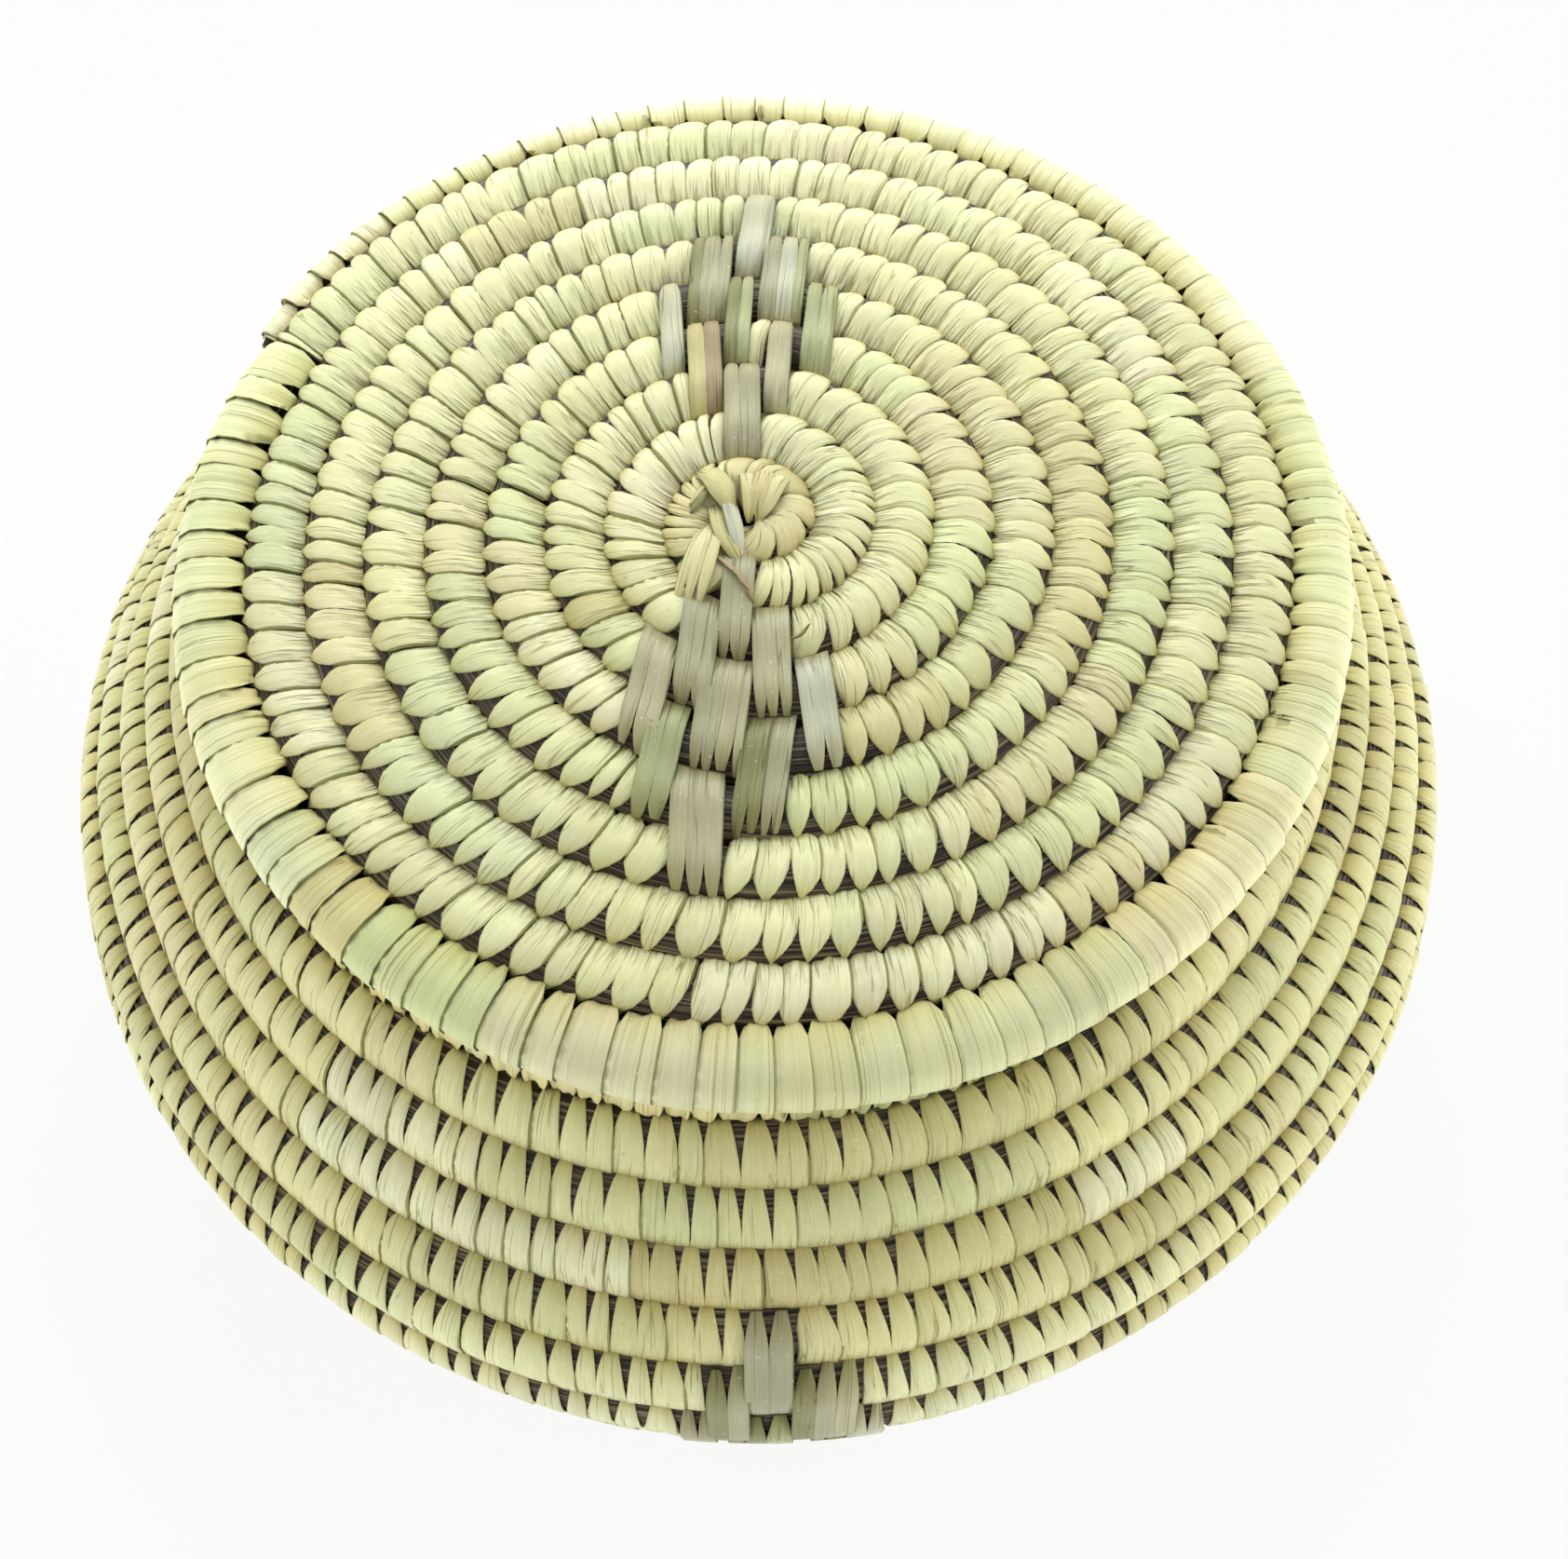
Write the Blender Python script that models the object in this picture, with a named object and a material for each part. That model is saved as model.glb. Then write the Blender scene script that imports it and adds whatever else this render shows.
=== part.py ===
"""Coiled palm-leaf basket with a loose lid.

One bundle of grass stalks, wrapped in leaf strips, is wound from the centre of the base out to a
round belly and up a sloping shoulder to the mouth. A second bundle is wound from the centre of the
lid out to its rim. Wider strips of darker leaf, each over two rows, make stepped diamonds on both.
Metres, +Z up, the origin under the middle of the base, the front of the basket towards -Y.
"""
from math import asin, cos, dist, floor, pi, radians, sin, sqrt

import bpy
from mathutils import Vector

# The bundles, each measured over its wrapping
BASKET_COIL_DIAMETER = 0.0130
BASKET_RIM_COIL_DIAMETER = 0.0120
LID_COIL_DIAMETER = 0.0103
LID_RIM_COIL_DIAMETER = 0.0115
TURN_GAP = 0.0007      # between neighbouring turns, where the leaf passes through
SEAT_GAP = 0.0003      # between pieces that touch
CENTRE_HOLE_RADIUS = 0.0005
CENTRE_START_TURNS = 0.1
THIN_END_RADIUS = 0.0016

# The wall's centre line, from the mouth down: a straight shoulder, a round belly, a flat base
MOUTH_RADIUS = 0.0995
SHOULDER_LENGTH = 0.0605
SHOULDER_SLOPE = radians(54)
BELLY_RADIUS = 0.0394
BASE_STEP = 0.0004     # how far the wall's lowest row lies above the base's
SHOULDER_ROWS = 5      # the rows down to where the shoulder's coil ends, with the rim's
UPPER_BELLY_ROWS = 8   # the rows down to the widest part
WALL_ROWS = 11         # the rows above the flat base
MOUTH_END_ANGLE = radians(135)
CLIMB_SHARES = (0.3, 0.3, 0.3, 0.3, 0.3, 0.3, 0.3, 0.3, 0.3, 0.4, 0.5, 0.65, 0.8)

# The lid, which is a little domed inside its last turn
LID_OVERHANG = 0.0100  # how far the lid's edge stands out past the middle of the mouth's rim
LID_END_DRAW = 0.0005  # how far the coil would run past the lid's edge if it didn't thin out
LID_END_ANGLE = radians(155)
LID_DOME_HEIGHT = 0.0037

# The diamonds: strips in each layer, and where each layer's middle lies
DIAMOND_STRIPS = (1, 2, 3, 2, 1)
STRIP_WIDTH = 0.0066
STRIP_SIDE_GAP = 0.0015
STRIP_THICKNESS = 0.0006
STRIP_TUCK = 0.0016    # how far a strip's ends dip between the rows
STRIP_END_SHARE = 0.06  # how much of a row a strip stops short at each end
STRIP_SHOULDER_SHARE = 0.16  # how much wider than a bundle's flat a strip lies level
LID_FRONT_OFFSET = -0.0018
LID_FRONT_LEAN = -0.0012
LID_BACK_OFFSET = -0.0020
LID_BACK_LEAN = 0.0005
BASKET_FRONT_OFFSET = 0.0024
BASKET_FRONT_LEAN = 0.0012
BASKET_DIAMOND_ROW = 4  # the first row that the basket's diamond covers, counted from the rim's
LID_DIAMOND_ROW = 0.75  # how many rows out from the lid's centre a diamond can begin

# The leaf end that closes the hole in the lid's centre
CENTRE_TAB_LENGTH = 0.0160
CENTRE_TAB_WIDTH = 0.0045

POINTS_PER_TURN = 24
FRONT = radians(-90)
BACK = radians(90)
FLAT_SHARE = cos(pi / 6)   # a six-sided bundle's flats lie this share of its radius from its middle

BASKET_PITCH = BASKET_COIL_DIAMETER + TURN_GAP
LID_PITCH = LID_COIL_DIAMETER + TURN_GAP
BELLY_END = SHOULDER_LENGTH + BELLY_RADIUS * (pi - SHOULDER_SLOPE)
SHOULDER_RADIUS = MOUTH_RADIUS + SHOULDER_LENGTH * cos(SHOULDER_SLOPE)
SHOULDER_HEIGHT = SHOULDER_LENGTH * sin(SHOULDER_SLOPE)
BELLY_MIDDLE_RADIUS = SHOULDER_RADIUS - BELLY_RADIUS * sin(SHOULDER_SLOPE)
BASE_HEIGHT = BASKET_COIL_DIAMETER / 2 * FLAT_SHARE
BELLY_MIDDLE_HEIGHT = BASE_HEIGHT + BASE_STEP + BELLY_RADIUS
MOUTH_HEIGHT = BELLY_MIDDLE_HEIGHT + BELLY_RADIUS * cos(SHOULDER_SLOPE) + SHOULDER_HEIGHT
BASKET_TURNS = (BELLY_END + BELLY_MIDDLE_RADIUS) / BASKET_PITCH
LID_RADIUS = MOUTH_RADIUS + LID_OVERHANG
LID_TURNS = (LID_RADIUS + LID_END_DRAW) / LID_PITCH
LID_SEAT_HEIGHT = MOUTH_HEIGHT + BASKET_RIM_COIL_DIAMETER / 2 + SEAT_GAP
LID_RIM_HEIGHT = LID_SEAT_HEIGHT + LID_RIM_COIL_DIAMETER / 2 * FLAT_SHARE
LID_RIM_START = LID_TURNS - 1

STALK_GREEN = (0.62, 0.60, 0.36, 1.0)
RIM_PALE = (0.66, 0.62, 0.42, 1.0)
STRIP_COLOURS = {
    "grey": (0.44, 0.41, 0.33, 1.0),
    "olive": (0.27, 0.28, 0.13, 1.0),
    "green": (0.33, 0.37, 0.22, 1.0),
}


def clear_scene():
    for obj in list(bpy.data.objects):
        bpy.data.objects.remove(obj)


def leaf_material(name, colour):
    material = bpy.data.materials.get(name)
    if material is None:
        material = bpy.data.materials.new(name)
        material.use_nodes = True
        shader = material.node_tree.nodes["Principled BSDF"]
        shader.inputs["Base Color"].default_value = colour
        shader.inputs["Roughness"].default_value = 0.6
        shader.inputs["Metallic"].default_value = 0.0
    return material


def wall_point(row):
    """Radius, height and slope of the basket's wall at a row number, where the rim is row 0.

    The slope is how far the way down the wall has turned from level: 0 runs outwards, pi inwards.
    """
    along = row * BASKET_PITCH
    if along <= SHOULDER_LENGTH:
        radius = MOUTH_RADIUS + along * cos(SHOULDER_SLOPE)
        height = MOUTH_HEIGHT - along * sin(SHOULDER_SLOPE)
        return radius, height, SHOULDER_SLOPE
    if along <= BELLY_END:
        slope = SHOULDER_SLOPE + (along - SHOULDER_LENGTH) / BELLY_RADIUS
        radius = BELLY_MIDDLE_RADIUS + BELLY_RADIUS * sin(slope)
        return radius, BELLY_MIDDLE_HEIGHT + BELLY_RADIUS * cos(slope), slope
    return BELLY_MIDDLE_RADIUS - (along - BELLY_END), BASE_HEIGHT, pi


def lid_point(turn):
    """Radius, height and slope of the lid's top at a number of turns from its centre."""
    share = min(1.0, turn / LID_RIM_START)
    fall = LID_DOME_HEIGHT * share ** 2
    return turn * LID_PITCH, LID_RIM_HEIGHT + LID_DOME_HEIGHT - fall, 0.0


def wall_row(turns_down):
    """The row reached after winding down from the mouth: level first, then a climb at the back."""
    whole = floor(turns_down)
    climb = CLIMB_SHARES[whole] if 0 <= whole < len(CLIMB_SHARES) else 1.0
    part = turns_down - whole
    return whole + max(0.0, (part - (1.0 - climb)) / climb)


def start_of_coil(radius, pitch, tube_radius):
    """Draw the first turns in to the centre, where the spiral is steep and the bundle is thin."""
    steepness = pitch / (2 * pi * radius)
    full = tube_radius / sqrt(1 + steepness ** 2)
    outer = radius + full
    thin = min(full, (outer - CENTRE_HOLE_RADIUS) / 2)
    return outer - thin, thin


def basket_section(turns_down):
    """Centre, tube radius and slope of the basket's bundle after winding down from the mouth."""
    angle = MOUTH_END_ANGLE + 2 * pi * turns_down
    tube = BASKET_COIL_DIAMETER / 2
    if turns_down < 0:
        # The free end thins out over the climb to the rim and keeps the mouth level
        climb = CLIMB_SHARES[0]
        depth = max(0.0, (turns_down + climb) / climb)
        tube = min(BASKET_RIM_COIL_DIAMETER, depth * BASKET_PITCH - TURN_GAP) / 2
        top = BASKET_RIM_COIL_DIAMETER / 2
        row = (tube - top) / BASKET_PITCH
    else:
        row = wall_row(turns_down)
        if turns_down <= 1:
            tube = BASKET_RIM_COIL_DIAMETER / 2
    radius, height, slope = wall_point(row)
    if row > WALL_ROWS:
        radius, tube = start_of_coil(radius, BASKET_PITCH, tube)
    return Vector((radius * cos(angle), radius * sin(angle), height)), tube, slope


def lid_section(turn):
    """Centre, tube radius and slope of the lid's bundle at a number of turns from its centre."""
    angle = LID_END_ANGLE + 2 * pi * (turn - LID_TURNS)
    radius, height, slope = lid_point(turn)
    if turn <= LID_RIM_START:
        radius, tube = start_of_coil(radius, LID_PITCH, LID_COIL_DIAMETER / 2)
    else:
        # The last turn lies on the one inside it and thins out where it reaches the lid's edge
        inner = radius - LID_PITCH / 2 + TURN_GAP / 2
        tube = min(LID_RIM_COIL_DIAMETER, LID_RADIUS - inner) / 2
        radius = inner + tube
    return Vector((radius * cos(angle), radius * sin(angle), height)), tube, slope


def sections_between(section, first, last, square_first, square_last):
    """A bundle's sections between two numbers of turns.

    An end that meets another bundle is square: it lies in the middle of a straight run.
    """
    step = 1 / POINTS_PER_TURN
    start = floor(first * POINTS_PER_TURN) + 1
    stop = floor(last * POINTS_PER_TURN)
    sections = [section(i * step) for i in range(start, stop + 1)]
    if square_first:
        sections.insert(0, square_end(section((start - 1) * step), sections[0]))
    if square_last:
        sections.append(square_end(section((stop + 1) * step), sections[-1]))
    return sections


def square_end(beyond, last):
    """The end of a bundle, half a seat gap short of the middle of the run to the next section."""
    way = (beyond[0] - last[0]).normalized()
    middle = (beyond[0] + last[0]) / 2
    return middle - way * SEAT_GAP / 2, last[1], last[2]


def least_gap(sections):
    """The least clear distance from one turn of a bundle to another turn."""
    apart = POINTS_PER_TURN // 2
    gaps = [dist(a[0], b[0]) - a[1] - b[1]
            for i, a in enumerate(sections) for b in sections[i + apart:]]
    return min(gaps) if gaps else None


def wound_bundle(name, sections, material):
    """One unbroken six-sided tube through the sections, with a flat turned along the wall."""
    curve = bpy.data.curves.new(name, "CURVE")
    curve.dimensions = "3D"
    curve.twist_mode = "Z_UP"
    curve.bevel_depth = 1.0
    curve.bevel_resolution = 1
    curve.use_fill_caps = True
    spline = curve.splines.new("POLY")
    spline.points.add(len(sections) - 1)
    for point, (centre, tube, slope) in zip(spline.points, sections):
        point.co = (*centre, 1.0)
        point.radius = tube
        point.tilt = slope
    curve.materials.append(material)
    obj = bpy.data.objects.new(name, curve)
    bpy.context.collection.objects.link(obj)
    gap = least_gap(sections)
    if gap is not None:
        print(f"{name}: least gap to itself {gap * 1000:.2f} mm")
    return obj


def over_the_rows(surface, first, last, tube_radius):
    """Points over two rows, as a row number and a height above the rows' middle."""
    level_share = tube_radius / (2 * tube_radius + TURN_GAP) + STRIP_SHOULDER_SHARE
    top = tube_radius * FLAT_SHARE + SEAT_GAP
    flats = [row + side * level_share / 2 for row in (first + 0.5, last - 0.5) for side in (-1, 1)]
    heights = [(row, top) for row in flats]
    heights.insert(0, (first + STRIP_END_SHARE, top - STRIP_TUCK))
    heights.append((last - STRIP_END_SHARE, top - STRIP_TUCK))
    return [(surface(row), lift) for row, lift in heights]


def leaf_strip(name, path, facing, lateral, growth, material):
    """A flat strip of leaf laid over two rows, a set distance beside the diamond's axis.

    The rows' radius grows with the angle round the basket, and the strip's edges follow it.
    """
    vertices = []
    for (radius, height, slope), lift in path:
        for across in (lateral - STRIP_WIDTH / 2, lateral + STRIP_WIDTH / 2):
            for raised in (lift, lift + STRIP_THICKNESS):
                out = radius + raised * sin(slope)
                out -= growth * asin(across / out) * sin(facing)
                forward = sqrt(out ** 2 - across ** 2)
                up = height + raised * cos(slope)
                vertices.append((across, forward * sin(facing), up))
    faces = [(0, 1, 3, 2)]
    for i in range(0, len(vertices) - 4, 4):
        faces += [(i, i + 2, i + 6, i + 4), (i + 1, i + 5, i + 7, i + 3),
                  (i, i + 4, i + 5, i + 1), (i + 2, i + 3, i + 7, i + 6)]
    last = len(vertices) - 4
    faces.append((last, last + 2, last + 3, last + 1))
    if sin(facing) > 0:
        faces = [face[::-1] for face in faces]
    mesh = bpy.data.meshes.new(name)
    mesh.from_pydata(vertices, [], faces)
    mesh.materials.append(material)
    obj = bpy.data.objects.new(name, mesh)
    bpy.context.collection.objects.link(obj)
    return obj


def diamond(prefix, surface, first_row, tube_radius, growth, facing, offset, lean, colours):
    """Five layers of strips, each layer one row further on than the last."""
    strips = []
    spacing = 2 * (STRIP_WIDTH + STRIP_SIDE_GAP)
    for layer, count in enumerate(DIAMOND_STRIPS):
        row = first_row + layer
        path = over_the_rows(surface, row, row + 2, tube_radius)
        for i in range(count):
            lateral = offset + lean * layer + (i - (count - 1) / 2) * spacing
            colour = colours[len(strips) % len(colours)]
            material = leaf_material(f"leaf_{colour}", STRIP_COLOURS[colour])
            name = f"{prefix}_strip_{len(strips) + 1}"
            strips.append(leaf_strip(name, path, facing, lateral, growth, material))
    return strips


def centre_tab(material):
    """The leaf end that lies across the start of the lid's coil."""
    bottom = LID_RIM_HEIGHT + LID_DOME_HEIGHT + LID_COIL_DIAMETER / 2 * FLAT_SHARE + SEAT_GAP
    bpy.ops.mesh.primitive_cube_add(size=1, location=(0, 0, bottom + STRIP_THICKNESS / 2))
    obj = bpy.context.object
    obj.name = "lid_centre_tab"
    obj.scale = (CENTRE_TAB_WIDTH, CENTRE_TAB_LENGTH, STRIP_THICKNESS)
    bpy.ops.object.transform_apply(location=False, rotation=False, scale=True)
    obj.data.materials.append(material)
    return obj


def build_basket():
    stalk = leaf_material("leaf_wrapping", STALK_GREEN)
    pale = leaf_material("leaf_rim", RIM_PALE)
    centre = BASKET_TURNS - CENTRE_START_TURNS
    base = sections_between(basket_section, WALL_ROWS, centre, True, False)
    lower_belly = sections_between(basket_section, UPPER_BELLY_ROWS, WALL_ROWS, True, True)
    upper_belly = sections_between(basket_section, SHOULDER_ROWS, UPPER_BELLY_ROWS, True, True)
    shoulder = sections_between(basket_section, 1, SHOULDER_ROWS, True, True)
    thin_end = (2 * THIN_END_RADIUS + TURN_GAP) / BASKET_PITCH
    free_end = CLIMB_SHARES[0] * (thin_end - 1)
    rim = sections_between(basket_section, free_end, 1, False, True)
    wound_bundle("base_coil", base, stalk)
    wound_bundle("lower_belly_coil", lower_belly, stalk)
    wound_bundle("upper_belly_coil", upper_belly, stalk)
    wound_bundle("shoulder_coil", shoulder, stalk)
    wound_bundle("basket_rim_coil", rim, pale)
    tube = BASKET_COIL_DIAMETER / 2
    level_rows = 0.0
    diamond("basket_front", wall_point, BASKET_DIAMOND_ROW - 0.5, tube, level_rows, FRONT,
            BASKET_FRONT_OFFSET, BASKET_FRONT_LEAN, ("grey", "olive", "grey"))


def between_rows(angle):
    """The first place midway between two of the lid's rows, at an angle, that a strip fits round."""
    turns = LID_TURNS + (angle - LID_END_ANGLE) / (2 * pi) + 0.5
    return LID_DIAMOND_ROW + (turns - LID_DIAMOND_ROW) % 1.0


def build_lid():
    stalk = leaf_material("leaf_wrapping", STALK_GREEN)
    pale = leaf_material("leaf_rim", RIM_PALE)
    top = sections_between(lid_section, CENTRE_START_TURNS, LID_RIM_START, False, True)
    rim = sections_between(lid_section, LID_RIM_START, LID_TURNS, True, False)
    pieces = [
        wound_bundle("lid_coil", top, stalk),
        wound_bundle("lid_rim_coil", rim, pale),
        centre_tab(leaf_material("leaf_grey", STRIP_COLOURS["grey"])),
    ]
    tube = LID_COIL_DIAMETER / 2
    growth = LID_PITCH / (2 * pi)
    pieces += diamond("lid_front", lid_point, between_rows(FRONT), tube, growth, FRONT,
                      LID_FRONT_OFFSET, LID_FRONT_LEAN, ("grey", "grey", "olive", "green"))
    pieces += diamond("lid_back", lid_point, between_rows(BACK), tube, growth, BACK,
                      LID_BACK_OFFSET, LID_BACK_LEAN, ("grey", "olive", "grey", "green"))
    lift = bpy.data.objects.new("lid_lift", None)
    lift.location = (0, 0, LID_RIM_HEIGHT)
    bpy.context.collection.objects.link(lift)
    bpy.context.view_layer.update()
    for piece in pieces:
        piece.parent = lift
        piece.matrix_parent_inverse = lift.matrix_world.inverted()


def main():
    clear_scene()
    build_basket()
    build_lid()


main()
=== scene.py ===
"""Looks of the coiled palm-leaf basket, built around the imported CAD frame.

Every row is a bundle of dry stalks wrapped in leaf. The stalks are swept along the coil, and one
modelled leaf wrap is copied along it, each copy laid over its own stretch of the bundle.
"""
from collections import namedtuple
from math import cos, floor, pi, radians, sin, sqrt
from random import Random

import bpy
import numpy as np
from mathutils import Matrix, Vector


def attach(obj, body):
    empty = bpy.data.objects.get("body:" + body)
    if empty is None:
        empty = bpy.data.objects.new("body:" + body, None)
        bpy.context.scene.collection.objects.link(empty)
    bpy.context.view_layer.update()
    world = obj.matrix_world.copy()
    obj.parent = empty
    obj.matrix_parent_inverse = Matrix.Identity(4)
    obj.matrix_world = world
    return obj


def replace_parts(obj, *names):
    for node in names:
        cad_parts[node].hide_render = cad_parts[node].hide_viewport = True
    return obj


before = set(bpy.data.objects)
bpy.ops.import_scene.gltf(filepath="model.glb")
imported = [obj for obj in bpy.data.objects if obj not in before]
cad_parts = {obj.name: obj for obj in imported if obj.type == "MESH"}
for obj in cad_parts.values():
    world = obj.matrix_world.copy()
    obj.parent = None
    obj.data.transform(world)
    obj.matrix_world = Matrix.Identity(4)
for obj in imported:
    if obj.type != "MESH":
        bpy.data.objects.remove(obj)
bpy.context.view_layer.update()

# The bundles, as in the part's source: metres, turns, and angles seen from above
BASKET_COIL = 0.0130
BASKET_RIM_COIL = 0.0120
LID_COIL = 0.0103
LID_RIM_COIL = 0.0115
TURN_GAP = 0.0007
SEAT_GAP = 0.0003
BASKET_PITCH = BASKET_COIL + TURN_GAP
LID_PITCH = LID_COIL + TURN_GAP
FLAT_SHARE = cos(pi / 6)
MOUTH_RADIUS = 0.0995
SHOULDER_LENGTH = 0.0605
SHOULDER_SLOPE = radians(54)
BELLY_RADIUS = 0.0394
BASE_STEP = 0.0004
WALL_ROWS = 11
MOUTH_END_ANGLE = radians(135)
CLIMB_SHARES = (0.3, 0.3, 0.3, 0.3, 0.3, 0.3, 0.3, 0.3, 0.3, 0.4, 0.5, 0.65, 0.8)
LID_RADIUS = 0.1095
LID_TURNS = 10
LID_RIM_START = 9
LID_END_ANGLE = radians(155)
LID_END_TAPER = 0.028
LID_DOME_HEIGHT = 0.0037
CENTRE_HOLE_RADIUS = 0.0005
CENTRE_START_TURNS = 0.1
STRIP_SPACING = 0.0162
DIAMOND_STRIPS = (1, 2, 3, 2, 1)
FRONT, BACK = radians(-90), radians(90)
BELLY_END = SHOULDER_LENGTH + BELLY_RADIUS * (pi - SHOULDER_SLOPE)
SHOULDER_RADIUS = MOUTH_RADIUS + SHOULDER_LENGTH * cos(SHOULDER_SLOPE)
BELLY_MIDDLE_RADIUS = SHOULDER_RADIUS - BELLY_RADIUS * sin(SHOULDER_SLOPE)
BASE_HEIGHT = BASKET_COIL / 2 * FLAT_SHARE
BELLY_MIDDLE_HEIGHT = BASE_HEIGHT + BASE_STEP + BELLY_RADIUS
MOUTH_HEIGHT = (BELLY_MIDDLE_HEIGHT + BELLY_RADIUS * cos(SHOULDER_SLOPE)
                + SHOULDER_LENGTH * sin(SHOULDER_SLOPE))
BASKET_TURNS = (BELLY_END + BELLY_MIDDLE_RADIUS) / BASKET_PITCH
LID_RIM_HEIGHT = MOUTH_HEIGHT + BASKET_RIM_COIL / 2 + SEAT_GAP + LID_RIM_COIL / 2 * FLAT_SHARE

# The filling bundle in the grooves of the lower wall: its radius, and the turns that it runs between
FILLER_TUBE = 0.0029
FILLER_START, FILLER_END = 8, BASKET_TURNS - 1.6

# A pressed row's height and width over its stalks, as shares of its thickness, and the dip of a wide
# strip between two rows
CORE_TOP, CORE_SIDE = 0.865, 1.075
STRIP_DIP = 0.835
# The way of a wrap over its row, in the same shares: sideways, less than 0 towards the row that was
# wound before it, and up. It comes out of that row's side, spans the groove and goes over the top.
WRAP_WAY = ((-1.42, 0.24), (-1.32, 0.42), (-1.18, 0.53), (-1.00, 0.585), (-0.72, 0.735), (-0.36, 0.90),
            (0.0, 0.955), (0.36, 0.90), (0.64, 0.775), (0.85, 0.60), (0.98, 0.40), (1.03, 0.24))
INSIDE_WAY = ((-1.10, -0.22), (-1.08, -0.30), (-0.90, -0.56), (-0.60, -0.81), (0.0, -0.955), (0.60, -0.81),
              (0.90, -0.56), (1.08, -0.30), (1.10, -0.22))
RIM_WAY = ((-1.34, 0.30), (-1.27, 0.46), (-1.12, 0.66), (-0.90, 0.78), (-0.52, 0.925), (0.0, 1.0), (0.46, 0.95),
           (0.84, 0.72), (1.08, 0.32), (1.12, -0.10), (0.98, -0.52), (0.60, -0.88), (0.0, -1.0), (-0.56, -0.84),
           (-0.84, -0.56), (-0.90, -0.45))

# The leaf, in metres
WRAP_BOW = 0.0005         # how far a wrap bows sideways over its row
SLIT_RADIUS = 0.021       # nearer the middle than this, most wraps are slit in two
CROWDED_RADIUS = 0.045    # nearer the middle than this, wraps crowd and keep wider ends
STRIP_RAISED = 0.0008     # how far a wide strip lies above a wrap's way
STRIP_CLEARANCE = 0.0026  # no wrap begins or ends this near to a wide strip
JOINED_WITHIN = 0.0022    # wide strips nearer than this leave no wrap between them
LEAN_RADIUS = 0.055       # nearer the middle than this, wraps lean more
# How far a wrap's gathered end lies ahead of its tip: everywhere, and so much more at the middle
LID_LEAN, RIM_LEAN, WALL_LEAN = (0.0022, 0.0028), (0.0014, 0.0), (0.0004, 0.0)
BELOW_LEAN = (-0.0022, -0.0028)
STRIP_THICKNESS = 0.00022
LOOSE_THICKNESS = 0.00025
UNDERSIDE = 0.0011        # how far the base's wraps stand below the solids
STALK_RIDGE = 0.035       # how far a stalk stands up, as a share of its bundle
STALK_TWIST = 5.0         # how far a bundle is twisted, in radians a metre

# Leaf colours, as written in sRGB
TONES = {
    "pale": (222, 223, 175), "cream": (226, 225, 184), "green": (215, 220, 169),
    "mint": (212, 218, 172), "blush": (220, 216, 169), "straw": (214, 209, 158),
    "olive": (200, 195, 139), "reed": (216, 212, 157), "meadow": (208, 208, 155),
    "sand": (212, 205, 152), "husk": (203, 195, 139), "grey": (172, 172, 142), "silver": (200, 202, 180),
    "dark": (142, 144, 98), "moss": (172, 179, 134), "ash": (184, 182, 150), "bark": (165, 149, 115),
    "sage": (205, 208, 160), "linen": (206, 205, 162), "rim_green": (197, 205, 150),
    "mouth_green": (180, 189, 140),
}


def linear(tone):
    """A tone as a linear colour."""
    return tuple(((c / 255 + 0.055) / 1.055) ** 2.4 for c in TONES[tone])


# ---------------------------------------------------------------- forms of the bundles

def wall_point(row):
    along = row * BASKET_PITCH
    if along <= SHOULDER_LENGTH:
        radius = MOUTH_RADIUS + along * cos(SHOULDER_SLOPE)
        return radius, MOUTH_HEIGHT - along * sin(SHOULDER_SLOPE), SHOULDER_SLOPE
    if along <= BELLY_END:
        slope = SHOULDER_SLOPE + (along - SHOULDER_LENGTH) / BELLY_RADIUS
        radius = BELLY_MIDDLE_RADIUS + BELLY_RADIUS * sin(slope)
        return radius, BELLY_MIDDLE_HEIGHT + BELLY_RADIUS * cos(slope), slope
    return BELLY_MIDDLE_RADIUS - (along - BELLY_END), BASE_HEIGHT, pi


def start_of_coil(radius, pitch, tube):
    steepness = pitch / (2 * pi * radius)
    full = tube / sqrt(1 + steepness ** 2)
    outer = radius + full
    thin = min(full, (outer - CENTRE_HOLE_RADIUS) / 2)
    return outer - thin, thin


def basket_section(turns_down):
    """Angle, radius, height, slope and tube radius of the basket's bundle."""
    angle = MOUTH_END_ANGLE + 2 * pi * turns_down
    tube = BASKET_COIL / 2
    if turns_down < 0:
        climb = CLIMB_SHARES[0]
        depth = max(0.0, (turns_down + climb) / climb)
        tube = min(BASKET_RIM_COIL, depth * BASKET_PITCH - TURN_GAP) / 2
        row = (tube - BASKET_RIM_COIL / 2) / BASKET_PITCH
    else:
        whole = floor(turns_down)
        climb = CLIMB_SHARES[whole] if whole < len(CLIMB_SHARES) else 1.0
        row = whole + max(0.0, (turns_down - whole - (1.0 - climb)) / climb)
        if turns_down <= 1:
            tube = BASKET_RIM_COIL / 2
    radius, height, slope = wall_point(row)
    if row > WALL_ROWS:
        radius, tube = start_of_coil(radius, BASKET_PITCH, tube)
    return angle, radius, height, slope, tube


def filler_section(turns_down):
    """A thinner bundle in the groove between a row and the next, which fills it where the rows part."""
    row, after = basket_section(turns_down), basket_section(turns_down + 1)
    return row[0], (row[1] + after[1]) / 2, (row[2] + after[2]) / 2, (row[3] + after[3]) / 2, FILLER_TUBE


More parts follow.
